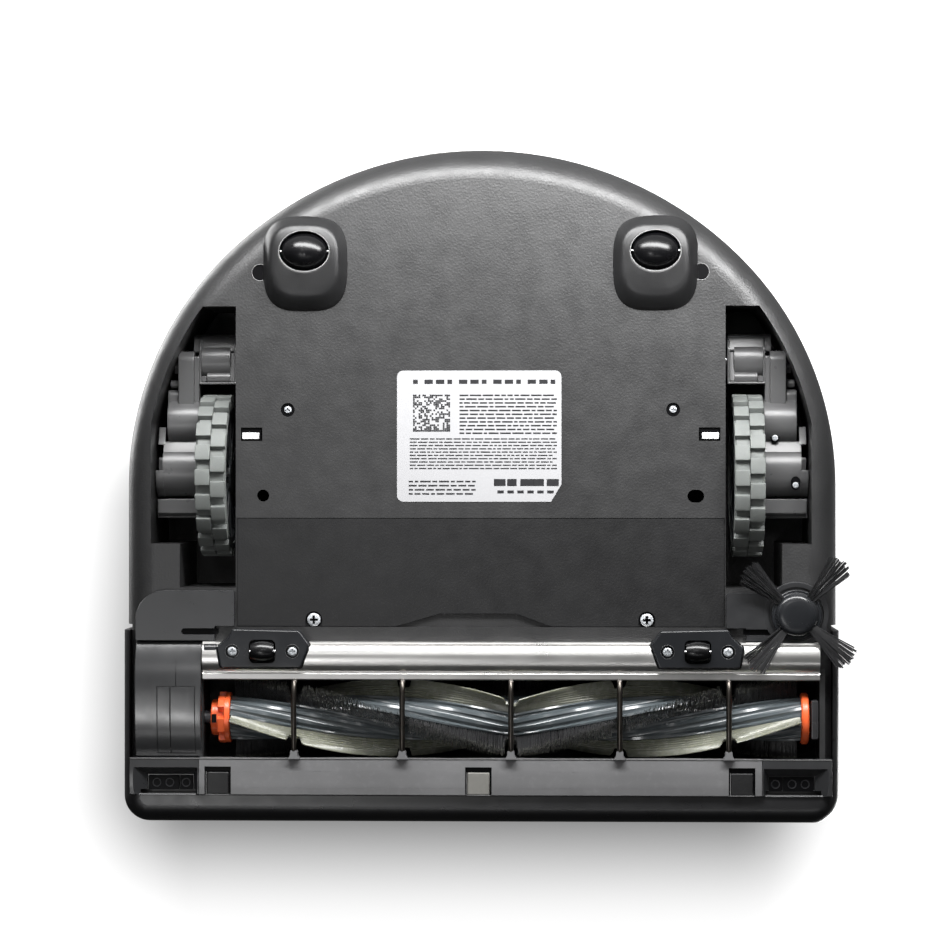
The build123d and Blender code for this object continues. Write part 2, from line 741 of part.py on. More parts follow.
def front_strip():
    """Lower beam in front of the brush, with its sensor recesses and pad pockets."""
    end = BUMPER_HALF_W - BUMPER_T - 0.6
    strip = block(-end, end, STRIP_REAR_OF_LIP, BAY_FRONT_Y, STRIP_Z, PAN_Z)
    strip += block(-end, end, STRIP_FRONT_Y, BAY_FRONT_Y, STRIP_Z, STRIP_Z + STRIP_SHEET)
    for hand in (1, -1):
        strip -= pyramid(hand)
    for window in cliff_windows():
        strip -= window
    for x in PAD_XS:
        half = PAD_SIDE / 2 + 1.0
        strip -= block(x - half, x + half, PAD_Y - half, PAD_Y + half + 0.6, STRIP_Z - 1, STRIP_Z + STRIP_SHEET)
    for index in range(-2, 3):
        x = WIRE_MID_X + WIRE_PITCH * index
        strip -= block(x - 1.9, x + 1.9, BAY_FRONT_Y - 2.2, BAY_FRONT_Y + 1, STRIP_Z - 1, STRIP_Z + 1.6)
    return strip


def square_pads():
    """Three square glide pads set into the strip."""
    pads = []
    for x in PAD_XS:
        half = PAD_SIDE / 2
        pad = block(x - half, x + half, PAD_Y - half, PAD_Y + half, STRIP_Z + 0.2, STRIP_Z + STRIP_SHEET)
        pads.append(chamfer(pad.edges().group_by(Axis.Z)[0], 0.5))
    return pads


def cliff_windows():
    """Dark windows at the bottom of the two cliff recesses."""
    return both_hands(block(133.0, 153.4, -145.4, -138.6, STRIP_Z + 4.0, STRIP_Z + 5.4))


def housing_round(radius):
    """Rounded housing over the belt drive, as a full cylinder."""
    return rod_x(BAY_LEFT_X + 0.3, BLOCK_OUT_X, HOUSING_Y, HOUSING_Z, radius)


def housing_cap_space(gap):
    """Region of the belt housing taken by its cap."""
    return block(
        131.6 - gap, 148.9 + gap, -128.5 - gap, -97.4 + gap, 0, PAN_Z
    )


def side_block_left():
    """Left corner block: flat top part and rounded belt housing."""
    x0 = BAY_LEFT_X + 0.3
    flat = block(113.4, BLOCK_OUT_X, BLOCK_MID_Y, BLOCK_TOP_Y, BLOCK_FLAT_Z, PAN_Z)
    corner = [
        edge
        for edge in flat.edges().filter_by(Axis.Z)
        if edge.center().X > 150 and edge.center().Y > BLOCK_TOP_Y - 1
    ]
    flat = fillet(corner, 14.0)
    flat -= block(119.5, 138.0, -73.5, -70.6, BLOCK_FLAT_Z - 1, BLOCK_FLAT_Z + 2)
    flat -= block(113.0, 122.3, BLOCK_MID_Y - 1, -70.0, 0, PAN_Z + 1)
    lower = block(x0, BLOCK_OUT_X, BAY_FRONT_Y + 0.2, BLOCK_MID_Y, BLOCK_FLAT_Z + 0.8, PAN_Z)
    bulge = housing_round(HOUSING_R) & block(x0, BLOCK_OUT_X, BAY_FRONT_Y + 0.2, BLOCK_MID_Y, 0, PAN_Z)
    whole = flat + lower + bulge
    hollow = housing_round(HOUSING_R - 1.5)
    hollow &= block(BELT_X[0] - 2, BELT_X[1] + 2, BRUSH_Y - 13, BRUSH_Y + 13, 0, PAN_Z + 1)
    whole -= hollow
    cap_seat = housing_round(HOUSING_R + 1) - housing_round(HOUSING_R - 0.9)
    return whole - (cap_seat & housing_cap_space(0.25))


def gear_cap():
    """Curved cap let into the belt housing."""
    shell = housing_round(HOUSING_R) - housing_round(HOUSING_R - 0.8)
    return shell & housing_cap_space(0.0)


def side_block_right():
    """Right corner block with the seat of the side brush."""
    flat = block(-BLOCK_OUT_X, -113.4, BLOCK_MID_Y, BLOCK_TOP_Y + 1, BLOCK_FLAT_Z, PAN_Z)
    seat = rod_z(SIDE_X, SIDE_Y, BLOCK_FLAT_Z, PAN_Z, 15.0)
    flat += seat & block(-BLOCK_OUT_X - 5, -113.4, BLOCK_MID_Y, 0, 0, PAN_Z)
    flat -= rod_z(SIDE_X, SIDE_Y, BLOCK_FLAT_Z - 1, BLOCK_FLAT_Z + 1.2, 12.6)
    flat -= rod_z(SIDE_X, SIDE_Y, BLOCK_FLAT_Z, PAN_Z + 1, 4.4)
    flat -= block(-135.0, -119.5, -73.5, -70.6, BLOCK_FLAT_Z - 1, BLOCK_FLAT_Z + 2)
    return flat - block(-122.3, -113.0, BLOCK_MID_Y - 3, -70.0, 0, PAN_Z + 1)


# --- brush guard ---------------------------------------------------------------------

def guard_block_plan(hand, grow=0.0):
    """Plan of one roller block, mirrored about the middle plane."""
    x = BLOCK_X
    points = [
        (x + 15.7, -74.2), (x + 13.9, -70.7), (x - 16.9, -71.4),
        (x - 21.9, -77.9), (x - 17.8, -88.7), (x + 19.4, -88.7), (x + 21.2, -79.2),
    ]
    face = make_face(Polyline(*[(hand * px, py) for px, py in points], close=True))
    return offset(face, grow) if grow else face


def guard_blocks():
    """Two blocks that hold the front rollers."""
    blocks = []
    for hand in (1, -1):
        body = Pos(0, 0, BLOCK_Z) * extrude(guard_block_plan(hand), PAN_Z - BLOCK_Z - 0.02)
        body = chamfer(body.edges().group_by(Axis.Z)[0], 0.8)
        x = hand * BLOCK_X
        slot = 2 * GUARD_ROLLER_HALF_L + 1.2
        body -= Pos(x, BLOCK_Y, 7) * Box(slot, 2 * GUARD_ROLLER_R + 1.0, 12)
        reach = GUARD_ROLLER_HALF_L + 2.4
        body -= rod_x(x - reach, x + reach, BLOCK_Y, GUARD_ROLLER_Z, GUARD_PIN_R)
        for side in (1, -1):
            sx = x + side * BLOCK_SCREW_X
            body -= rod_z(sx, BLOCK_Y, BLOCK_Z - 1, BLOCK_Z + 1.6, 3.0)
            body -= rod_z(sx, BLOCK_Y, BLOCK_Z, PAN_Z + 1, 1.2)
        blocks.append(body)
    return blocks


def guard_screws():
    """Small screws of the roller blocks."""
    screws = []
    for hand in (1, -1):
        for side in (1, -1):
            x = hand * BLOCK_X + side * BLOCK_SCREW_X
            head = Pos(x, BLOCK_Y, BLOCK_Z + 1.6) * Rot(180, 0, 0) * screw_head(2.3, 1.3)
            screws.append(head + rod_z(x, BLOCK_Y, BLOCK_Z + 1.6, PAN_Z - 0.3, 1.2))
    return screws


def guard_bar():
    """Rounded beam and thin lip behind the brush, with seats for the blocks."""
    top = PAN_Z - 0.02
    mid = (BAR_REAR_Y + BAR_FRONT_Y) / 2
    crown = ThreePointArc((BAR_REAR_Y, top - 4.4), (mid, BAR_Z), (BAR_FRONT_Y, top - 3.2))
    profile = make_face(
        [
            crown,
            Line((BAR_FRONT_Y, top - 3.2), (BAR_FRONT_Y - 0.5, top - 4.2)),
            Line((BAR_FRONT_Y - 0.5, top - 4.2), (LIP_FRONT_Y, top - 4.2)),
            Line((LIP_FRONT_Y, top - 4.2), (LIP_FRONT_Y, top - 1.8)),
            Line((LIP_FRONT_Y, top - 1.8), (BAR_FRONT_Y + 1, top)),
            Line((BAR_FRONT_Y + 1, top), (BAR_REAR_Y, top)),
            Line((BAR_REAR_Y, top), (BAR_REAR_Y, top - 4.4)),
        ]
    )
    length = BAY_LEFT_X - BAY_RIGHT_X
    beam = Pos(BAY_RIGHT_X, 0, 0) * extrude(Plane.YZ * profile, length)
    for hand in (1, -1):
        beam -= extrude(guard_block_plan(hand, 0.05), 20)
    for x in wire_xs():
        beam -= rod_wire_hole(x)
    return beam


def rod_wire_hole(x):
    """Blind hole in the lip for one guard wire's root."""
    return block(x - WIRE_R, x + WIRE_R, LIP_FRONT_Y - 1, LIP_FRONT_Y + 2.0, 0, PAN_Z - 2.2)


def wire_xs():
    """Places of the guard wires along the brush."""
    return [WIRE_MID_X + WIRE_PITCH * index for index in range(-2, 3)]


def guard_wires():
    """Wires under the brush, each with a foot at its front end."""
    wires = []
    rear = LIP_FRONT_Y + 1.9
    front = BAY_FRONT_Y - 2.0
    for x in wire_xs():
        mid = (rear + front) / 2
        wire = Pos(x, mid, WIRE_Z) * Rot(90, 0, 0) * Cylinder(WIRE_R, rear - front)
        root = block(x - WIRE_R, x + WIRE_R, LIP_FRONT_Y + 0.1, rear, WIRE_Z, PAN_Z - 2.3)
        foot = block(x - 1.7, x + 1.7, front, front + 3.2, WIRE_Z - 0.4, STRIP_Z + 1.5)
        wires.append(wire + root + foot)
    return wires


def barrel(half_length, radius, end_radius):
    """Crowned roller along X, centred on the origin."""
    side = ThreePointArc((-half_length, end_radius), (0, radius), (half_length, end_radius))
    outline = [
        side,
        Line((half_length, end_radius), (half_length, 0)),
        Line((half_length, 0), (-half_length, 0)),
        Line((-half_length, 0), (-half_length, end_radius)),
    ]
    return revolve(make_face(outline), Axis.X)


def guard_roller(hand):
    """Front roller on its pin."""
    roller = barrel(GUARD_ROLLER_HALF_L, GUARD_ROLLER_R, GUARD_ROLLER_R - 1.0)
    roller -= Rot(0, 90, 0) * Cylinder(GUARD_PIN_R + FIT, 20)
    return Pos(hand * BLOCK_X, BLOCK_Y, GUARD_ROLLER_Z) * roller


def guard_pins():
    """Steel pins of the front rollers."""
    reach = GUARD_ROLLER_HALF_L + 2.3
    pins = []
    for hand in (1, -1):
        x = hand * BLOCK_X
        pins.append(rod_x(x - reach, x + reach, BLOCK_Y, GUARD_ROLLER_Z, GUARD_PIN_R))
    return pins


def caster_roller(hand):
    """Egg-shaped rear roller: an ellipsoid cut off at both ends."""
    half = Pos(0, CASTER_R / 2) * Rectangle(2 * CASTER_HALF_L, CASTER_R)
    roller = revolve(Ellipse(CASTER_EGG_REACH, CASTER_R) & half, Axis.X)
    roller -= Rot(0, 90, 0) * Cylinder(CASTER_PIN_R + FIT, 30)
    return Pos(hand * CASTER_X, CASTER_Y, CASTER_R) * roller


def caster_pins():
    """Steel pins of the rear casters."""
    reach = CASTER_HALF_L + 3.4
    pins = []
    for hand in (1, -1):
        x = hand * CASTER_X
        pins.append(rod_x(x - reach, x + reach, CASTER_Y, CASTER_R, CASTER_PIN_R))
    return pins


# --- main brush ----------------------------------------------------------------------

def wire_grooves():
    """Rings cut out of flaps and bristles, where they pass the guard wires."""
    rings = []
    for x in wire_xs():
        outer = rod_x(x - WIRE_GROOVE / 2, x + WIRE_GROOVE / 2, BRUSH_Y, BRUSH_Z, BRUSH_R + 3)
        inner = rod_x(x - WIRE_GROOVE / 2 - 1, x + WIRE_GROOVE / 2 + 1, BRUSH_Y, BRUSH_Z, WIRE_GROOVE_R)
        rings.append(outer - inner)
    return rings


def helix_blade(start_turn, hand, radius, thickness, end_x):
    """Twisted blade from the middle of the brush to one end."""
    mid_x = (BRUSH_LEFT_X + BRUSH_RIGHT_X) / 2
    root = CORE_R - 0.6
    length = abs(end_x - mid_x)
    section = Plane.YZ * Pos((root + radius) / 2, 0) * Rectangle(radius - root, thickness)
    section = Rot(start_turn, 0, 0) * section
    direction = (hand * length, 0, 0)
    blade = Solid.extrude_linear_with_rotation(section.face(), (0, 0, 0), direction, hand * CHEVRON_TWIST)
    return Pos(mid_x, BRUSH_Y, BRUSH_Z) * blade


def brush_row(start_turn, radius, thickness, margin):
    """A V-shaped row: two blades that meet at the brush's middle."""
    left = helix_blade(start_turn, 1, radius, thickness, BRUSH_LEFT_X - margin)
    right = helix_blade(start_turn, -1, radius, thickness, BRUSH_RIGHT_X + margin)
    row = left + right
    for ring in wire_grooves():
        row -= ring
    return row - rod_x(BRUSH_RIGHT_X - 1, BRUSH_LEFT_X + 1, BRUSH_Y, BRUSH_Z, CORE_R)


def brush_core():
    """Brush tube with its right-hand journal and square drive end."""
    core = rod_x(BRUSH_RIGHT_X, BRUSH_LEFT_X, BRUSH_Y, BRUSH_Z, CORE_R)
    return core + rod_x(BRUSH_RIGHT_X - 8.0, BRUSH_RIGHT_X, BRUSH_Y, BRUSH_Z, 3.0)


def drive_cap():
    """Stepped orange cap on the driven end."""
    cap = rod_x(BRUSH_LEFT_X, BRUSH_LEFT_X + 5.6, BRUSH_Y, BRUSH_Z, 12.0)
    cap += rod_x(BRUSH_LEFT_X + 5.6, BRUSH_LEFT_X + 9.2, BRUSH_Y, BRUSH_Z, 8.5)
    return cap


def end_disc():
    """Orange disc on the free end."""
    disc = rod_x(BRUSH_RIGHT_X - 3.7, BRUSH_RIGHT_X, BRUSH_Y, BRUSH_Z, 12.0)
    return disc - rod_x(BRUSH_RIGHT_X - 5, BRUSH_RIGHT_X + 1, BRUSH_Y, BRUSH_Z, 3.0)


def brush_bearing():
    """Bearing at the free end of the brush."""
    bearing = rod_x(BAY_RIGHT_X, BAY_RIGHT_X + 4.3, BRUSH_Y, BRUSH_Z, 6.5)
    return bearing - rod_x(BAY_RIGHT_X - 1, BAY_RIGHT_X + 6, BRUSH_Y, BRUSH_Z, 3.0 + FIT)


def brush_pulley():
    """Driven pulley with the shaft that enters the brush."""
    x0, x1 = BELT_X
    pulley = rod_x(x0, x1, BRUSH_Y, BRUSH_Z, BRUSH_PULLEY_R)
    return pulley + rod_x(BRUSH_LEFT_X + 9.2, x0, BRUSH_Y, BRUSH_Z, 3.0)


def motor_pulley():
    """Driving pulley and the motor's shaft."""
    x0, x1 = BELT_X
    pulley = rod_x(x0, x1, MOTOR_PULLEY_Y, MOTOR_PULLEY_Z, MOTOR_PULLEY_R)
    return pulley + rod_x(142.0, x0, MOTOR_PULLEY_Y, MOTOR_PULLEY_Z, 1.6)


def brush_motor():
    """Motor can that drives the belt."""
    can = rod_x(113.5, 145.5, MOTOR_PULLEY_Y, MOTOR_PULLEY_Z, BRUSH_MOTOR_R)
    return can - rod_x(141.5, 147.0, MOTOR_PULLEY_Y, MOTOR_PULLEY_Z, 1.6 + FIT)


def belt_hull(extra, x0, x1):
    """Space swept by a loop round both pulleys, grown by extra."""
    dy = MOTOR_PULLEY_Y - BRUSH_Y
    dz = MOTOR_PULLEY_Z - BRUSH_Z
    span = hypot(dy, dz)
    lean = atan2(dz, dy)
    big = BRUSH_PULLEY_R + extra
    small = MOTOR_PULLEY_R + extra
    tilt = asin((big - small) / span)

    def tangent(centre_y, centre_z, radius, hand):
        turn = lean + hand * (radians(90) - tilt)
        return (centre_y + radius * cos(turn), centre_z + radius * sin(turn))

    quad = [
        tangent(BRUSH_Y, BRUSH_Z, big, 1),
        tangent(MOTOR_PULLEY_Y, MOTOR_PULLEY_Z, small, 1),
        tangent(MOTOR_PULLEY_Y, MOTOR_PULLEY_Z, small, -1),
        tangent(BRUSH_Y, BRUSH_Z, big, -1),
    ]
    slab = Pos(x0, 0, 0) * extrude(Plane.YZ * make_face(Polyline(*quad, close=True)), x1 - x0)
    return (
        slab
        + rod_x(x0, x1, BRUSH_Y, BRUSH_Z, big)
        + rod_x(x0, x1, MOTOR_PULLEY_Y, MOTOR_PULLEY_Z, small)
    )


def brush_belt():
    """Rubber belt round the two pulleys, a hair clear of both."""
    x0, x1 = BELT_X[0] + 1, BELT_X[1] - 1
    return belt_hull(0.3 + BELT_T, x0, x1) - belt_hull(0.3, x0 - 1, x1 + 1)


# --- side brush ----------------------------------------------------------------------

def side_brush_hub():
    """Domed hub with the stem that plugs into the motor."""
    hub = rod_z(SIDE_X, SIDE_Y, 2.0, 8.2, SIDE_HUB_R)
    hub = fillet(hub.edges().group_by(Axis.Z)[0], 2.5)
    skirt = rod_z(SIDE_X, SIDE_Y, 5.4, 8.2, SIDE_HUB_R + 1.6)
    stem = rod_z(SIDE_X, SIDE_Y, 8.2, 22.0, 4.0)
    return hub + skirt + stem


def side_tufts():
    """Four splayed tufts that slope down to the floor."""
    root = Plane((SIDE_HUB_R - 1.0, 0, 4.2), x_dir=(0, 1, 0), z_dir=(1, 0, 0)) * Rectangle(4.6, 2.0)
    knee = Plane((22.0, 0, 2.2), x_dir=(0, 1, 0), z_dir=(1, 0, 0)) * Rectangle(8.5, 1.6)
    tip = Plane((TUFT_R, 0, 1.7), x_dir=(0, 1, 0), z_dir=(1, 0, 0)) * Rectangle(13.0, 1.4)
    tuft = loft([root, knee, tip], ruled=True)
    hub = side_brush_hub()
    tufts = []
    for index in range(TUFTS):
        turn = TUFT_TURN + index * 360 / TUFTS
        tufts.append(Pos(SIDE_X, SIDE_Y, 0) * Rot(0, 0, turn) * tuft - hub)
    return tufts


def side_brush_motor():
    """Small gear motor above the side brush."""
    can = rod_z(SIDE_X, SIDE_Y, PAN_Z + PAN_FLOOR, 40.0, 9.0)
    return can - rod_z(SIDE_X, SIDE_Y, PAN_Z, 22.5, 4.0 + FIT)


# --- drive wheels --------------------------------------------------------------------

def drive_gearbox():
    """Swing arm on its pivot, with the motor and the gear case. Left hand."""
    y, z = ARM_PIVOT
    plate_end = ARM_PLATE_X + ARM_PLATE_T
    arm = rod_x(ARM_IN_X, plate_end, y, z, ARM_HUB_R)
    arm += rod_x(ARM_PLATE_X, GEARBOX_END_X, 0, WHEEL_R, GEARBOX_R)
    arm += rod_x(ARM_PLATE_X, MOTOR_END_X, MOTOR_Y, MOTOR_Z, MOTOR_R)
    arm += block(ARM_PLATE_X, plate_end, 0, y, WHEEL_R - 9, WHEEL_R + 13)
    arm += block(ARM_PLATE_X, GEARBOX_END_X - 1, -18.5, -8, WHEEL_R - 11, WHEEL_R - 5)
    arm += block(ARM_PLATE_X + ARM_PLATE_T, 143.0, 18, 46, WHEEL_R - 8, WHEEL_R + 8)
    arm -= rod_x(ARM_IN_X - 1, 146, y, z, ARM_PIN_R + FIT)
    return arm - rod_x(ARM_PLATE_X - 1, ARM_PLATE_X + 8.2, 0, WHEEL_R, AXLE_R + FIT)


def wheel_hub():
    """Spoked wheel body with the axle stub that enters the gear case. Left hand."""
    x0, x1 = WHEEL_X - TYRE_W / 2, WHEEL_X + TYRE_W / 2
    hub = rod_x(x0 + 0.5, x1 - 0.5, 0, WHEEL_R, RIM_R)
    hub -= rod_x(x0, x0 + 3.0, 0, WHEEL_R, RIM_R - 3) - rod_x(x0, x0 + 3.0, 0, WHEEL_R, 9)
    return hub + rod_x(x1 - 1, ARM_PLATE_X + 8, 0, WHEEL_R, AXLE_R)


def tyre():
    """Rubber tyre with two staggered rows of lugs. Left hand."""
    x0, x1 = WHEEL_X - TYRE_W / 2, WHEEL_X + TYRE_W / 2
    band = rod_x(x0, x1, 0, WHEEL_R, WHEEL_R - LUG_DEPTH) - rod_x(x0 - 1, x1 + 1, 0, WHEEL_R, RIM_R)
    pitch = 360 / LUGS
    width = 2 * (WHEEL_R - LUG_DEPTH) * sin(radians(pitch * 0.3))
    lugs = []
    for row, mid in enumerate((WHEEL_X - TYRE_W / 4, WHEEL_X + TYRE_W / 4)):
        for index in range(LUGS):
            turn = pitch * (index + row / 2)
            lug = Pos(mid, 0, WHEEL_R - LUG_DEPTH - 1.0) * Box(TYRE_W / 2, width, 2 * LUG_DEPTH + 1.2)
            lugs.append(Pos(0, 0, WHEEL_R) * Rot(turn, 0, 0) * lug)
    whole = rod_x(x0, x1, 0, WHEEL_R, WHEEL_R)
    return band + [lug & whole for lug in lugs] - rod_x(x0 - 1, x1 + 1, 0, WHEEL_R, RIM_R)


def arm_pins():
    """Pivot pins of the two swing arms."""
    y, z = ARM_PIVOT
    return both_hands(rod_x(WELL_IN_X - WALL, 144.6, y, z, ARM_PIN_R))


def arm_springs():
    """Torsion springs round the pivot pins."""
    y, z = ARM_PIVOT
    coil = rod_x(136.1, 139.9, y, z, 5.6) - rod_x(136, 140, y, z, 4.2)
    return both_hands(coil)


def handed(solid, side):
    """A left-hand solid, mirrored for the right side."""
    return solid if SIDES[side] > 0 else mirror(solid, Plane.YZ)


# --- writing the nodes ---------------------------------------------------------------

def nodes():
    """Every node's name and solids."""
    parts = {
        "base_pan": base_pan(),
        "battery_cover": battery_cover(),
        "underside_screws": underside_screws(),
        "battery_pack": battery_pack(),
        "rating_label": rating_label(),
        "drop_windows": drop_windows(),
        "main_board": main_board(),
        "charge_contacts": charge_contacts(),
        "exhaust_grille": exhaust_grille(),
        "fan_housing": fan_housing(),
        "fan_motor": fan_motor(),
        "fan_impeller": fan_impeller(),
        "top_cover": top_cover(),
        "start_button": button(BUTTON_XS[0]),
        "spot_button": button(BUTTON_XS[1]),
        "turret_cap": turret_cap(),
        "turret_head": turret_head(),
        "turret_motor": turret_motor(),
        "bin_tub": bin_tub(),
        "bin_lid": bin_lid(),
        "bin_filter": bin_filter(),
        "bumper_skin": bumper(),
        "bumper_springs": bumper_springs(),
        "front_strip": front_strip(),
        "square_pads": square_pads(),
        "cliff_windows": cliff_windows(),
        "side_block_left": side_block_left(),
        "side_block_right": side_block_right(),
        "gear_cap": gear_cap(),
        "guard_blocks": guard_blocks(),
        "guard_screws": guard_screws(),
        "guard_bar": guard_bar(),
        "guard_wires": guard_wires(),
        "guard_pins": guard_pins(),
        "caster_pins": caster_pins(),
        "brush_core": brush_core(),
        "brush_flaps": [brush_row(turn, FLAP_R, 1.8, 0.5) for turn in FLAP_TURNS],
        "brush_bristles": [brush_row(turn, BRUSH_R, 4.0, 2.0) for turn in BRISTLE_TURNS],
        "drive_cap": drive_cap(),
        "end_disc": end_disc(),
        "brush_bearing": brush_bearing(),
        "brush_pulley": brush_pulley(),
        "motor_pulley": motor_pulley(),
        "brush_motor": brush_motor(),
        "brush_belt": brush_belt(),
        "side_brush_hub": side_brush_hub(),
        "side_brush_tufts": side_tufts(),
        "side_brush_motor": side_brush_motor(),
        "arm_pins": arm_pins(),
        "arm_springs": arm_springs(),
    }
    for side, hand in SIDES.items():
        parts[f"guard_roller_{side}"] = guard_roller(hand)
        parts[f"caster_roller_{side}"] = caster_roller(hand)
        parts[f"drive_gearbox_{side}"] = handed(drive_gearbox(), side)
        parts[f"wheel_hub_{side}"] = handed(wheel_hub(), side)
        parts[f"tyre_{side}"] = handed(tyre(), side)
    return parts


os.makedirs("parts", exist_ok=True)
for name, shape in nodes().items():
    save(name, shape)
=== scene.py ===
import json
import math
import random

import bmesh
import bpy
from mathutils import Matrix, Vector


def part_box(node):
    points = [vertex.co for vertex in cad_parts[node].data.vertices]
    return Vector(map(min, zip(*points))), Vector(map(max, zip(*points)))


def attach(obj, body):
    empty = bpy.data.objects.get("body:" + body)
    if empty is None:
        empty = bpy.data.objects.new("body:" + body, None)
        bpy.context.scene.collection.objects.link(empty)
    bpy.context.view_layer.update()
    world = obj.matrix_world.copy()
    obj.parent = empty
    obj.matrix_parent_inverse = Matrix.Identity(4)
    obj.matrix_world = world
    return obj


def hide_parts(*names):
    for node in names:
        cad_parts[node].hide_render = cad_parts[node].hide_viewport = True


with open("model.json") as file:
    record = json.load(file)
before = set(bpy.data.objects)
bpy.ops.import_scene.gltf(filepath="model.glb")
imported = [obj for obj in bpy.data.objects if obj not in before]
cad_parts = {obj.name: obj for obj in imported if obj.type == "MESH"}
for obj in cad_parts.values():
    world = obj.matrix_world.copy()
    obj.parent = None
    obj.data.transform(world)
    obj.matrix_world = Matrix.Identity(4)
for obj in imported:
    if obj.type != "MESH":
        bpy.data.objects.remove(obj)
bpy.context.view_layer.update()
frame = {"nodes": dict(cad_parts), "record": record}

# Lengths in this script are millimetres, in the CAD frame: +Z up, +Y to the rounded back, +X to the
# robot's left. The robot is looked at from below, as it lies on its deck.
MM = 0.001
LEFT, RIGHT = 1, -1
SIDE_NAMES = {LEFT: "left", RIGHT: "right"}


def corners_of(node):
    """Lowest and highest corner of a CAD node, in millimetres."""
    lo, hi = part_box(node)
    return lo / MM, hi / MM


# Driving places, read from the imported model
BRUSH_LO, BRUSH_HI = corners_of("brush_core")
BRUSH_Y = (BRUSH_LO.y + BRUSH_HI.y) / 2
BRUSH_Z = (BRUSH_LO.z + BRUSH_HI.z) / 2
CORE_R = (BRUSH_HI.z - BRUSH_LO.z) / 2
BRUSH_RIGHT_X = corners_of("end_disc")[1].x
BRUSH_LEFT_X = BRUSH_HI.x
BRUSH_MID_X = (BRUSH_LEFT_X + BRUSH_RIGHT_X) / 2
BRUSH_HALF_L = (BRUSH_LEFT_X - BRUSH_RIGHT_X) / 2
TWIST_PER_MM = math.radians(150.0) / BRUSH_HALF_L
FLAP_TURNS = (119.0, 299.0)
BRISTLE_TURNS = (207.0, 27.0)
WIRE_XS = [-14.4 + 50.0 * index for index in range(-2, 3)]
WHEEL_Z = 38.0
PAD_XS = (121.0, 0.6, -120.5)
WHEEL_X = (corners_of("tyre_left")[0].x + corners_of("tyre_left")[1].x) / 2
CASTER = (80.9, 103.4)
SIDE_BRUSH = (-145.5, -63.9)
FRONT_ROLLER = (100.2, -81.0)
BLOCK_FACE_Z = 4.2
BLOCK_SCREW_X = 13.9
BELLY_Z = 12.0
BELLY_HOLE = (101.9, 94.0)
STRIP_REAR_Y, STRIP_FRONT_Y, STRIP_LIP_Z = -130.35, -147.45, 8.2
# belt housing: its span in X, the Y and Z of its lowest line, and how it rises to both sides
HOUSING_X0, HOUSING_X1 = 128.7, 159.5
HOUSING_Y, HOUSING_Z = -103.6, 5.5
HOUSING_HALF, HOUSING_RISE, HOUSING_POWER = 26.6, 5.2, 2.8
CORNER_SLOT_Y0, CORNER_SLOT_Y1 = -73.5, -70.7
BUTTON_XS = {"start": -24.0, "spot": 24.0}
LABEL_Z = 11.79
# painted soft shadow on the table behind the overturned robot: its glow is made dimmer there
PAINTED_SHADOW_MIDDLE = (16.0, -85.0, 0.0)
PAINTED_SHADOW_HALF = (134.0, 65.0, 1000.0)
PAINTED_SHADOW_REACH = 78.0


# --- materials ------------------------------------------------------------------------

MATERIALS = {}


class Nodes:
    """Short way to build one material's node tree and to keep it by name."""

    def __init__(self, name):
        self.material = bpy.data.materials.new(name)
        self.material.use_nodes = True
        self.tree = self.material.node_tree
        self.shader = self.tree.nodes["Principled BSDF"]
        self.place = self.add("ShaderNodeTexCoord").outputs["Object"]
        MATERIALS[name] = self.material

    def add(self, kind, **values):
        node = self.tree.nodes.new(kind)
        for key, value in values.items():
            if hasattr(node, key):
                setattr(node, key, value)
            else:
                node.inputs[key].default_value = value
        return node

    def link(self, out, socket):
        self.tree.links.new(out, socket)

    def surface(self, colour, rough, normal, **levels):
        """Plug colour, roughness and normal into the shader and set its other levels."""
        for name, out in (("Base Color", colour), ("Roughness", rough), ("Normal", normal)):
            self.link(out, self.shader.inputs[name])
        for name, level in levels.items():
            self.shader.inputs[name.replace("_", " ")].default_value = level

    def noise(self, size_mm, detail=3.0, stretch=(1, 1, 1)):
        """Noise whose features are about size_mm wide."""
        mapping = self.add("ShaderNodeMapping")
        mapping.inputs["Scale"].default_value = [s / (size_mm * MM) for s in stretch]
        self.link(self.place, mapping.inputs["Vector"])
        noise = self.add("ShaderNodeTexNoise", Scale=1.0, Detail=detail, Roughness=0.55)
        self.link(mapping.outputs["Vector"], noise.inputs["Vector"])
        return noise.outputs["Fac"]

    def cells(self, size_mm, feature="F1"):
        """Voronoi cells about size_mm wide."""
        voronoi = self.add("ShaderNodeTexVoronoi", feature=feature, Scale=1.0 / (size_mm * MM))
        self.link(self.place, voronoi.inputs["Vector"])
        return voronoi.outputs["Distance"]

    def spread(self, value, low, high, start=0.3, end=0.7):
        """value mapped from start..end to low..high."""
        node = self.add("ShaderNodeMapRange")
        node.inputs["From Min"].default_value = start
        node.inputs["From Max"].default_value = end
        node.inputs["To Min"].default_value = low
        node.inputs["To Max"].default_value = high
        self.link(value, node.inputs["Value"])
        return node.outputs["Result"]

    def mix(self, factor, first, second):
        """Colour between first and second."""
        node = self.add("ShaderNodeMix", data_type="RGBA")
        for index, colour in ((6, first), (7, second)):
            if isinstance(colour, bpy.types.NodeSocket):
                self.link(colour, node.inputs[index])
            else:
                node.inputs[index].default_value = (*colour, 1.0)
        self.link(factor, node.inputs[0])
        return node.outputs[2]

    def tones(self, colour, patches, vary):
        """The colour made a little darker and lighter by a pattern."""
        return self.mix(self.spread(patches, 0.0, 1.0), shade(colour, 1 - vary), shade(colour, 1 + vary))

    def bump(self, height, depth_mm, below=None):
        """Bump of depth_mm, on top of the bump below."""
        node = self.add("ShaderNodeBump", Strength=1.0, Distance=depth_mm * MM)
        self.link(height, node.inputs["Height"])
        if below is not None:
            self.link(below, node.inputs["Normal"])
        return node.outputs["Normal"]


def shade(colour, factor):
    """A colour made lighter or darker."""
    return tuple(min(1.0, channel * factor) for channel in colour)


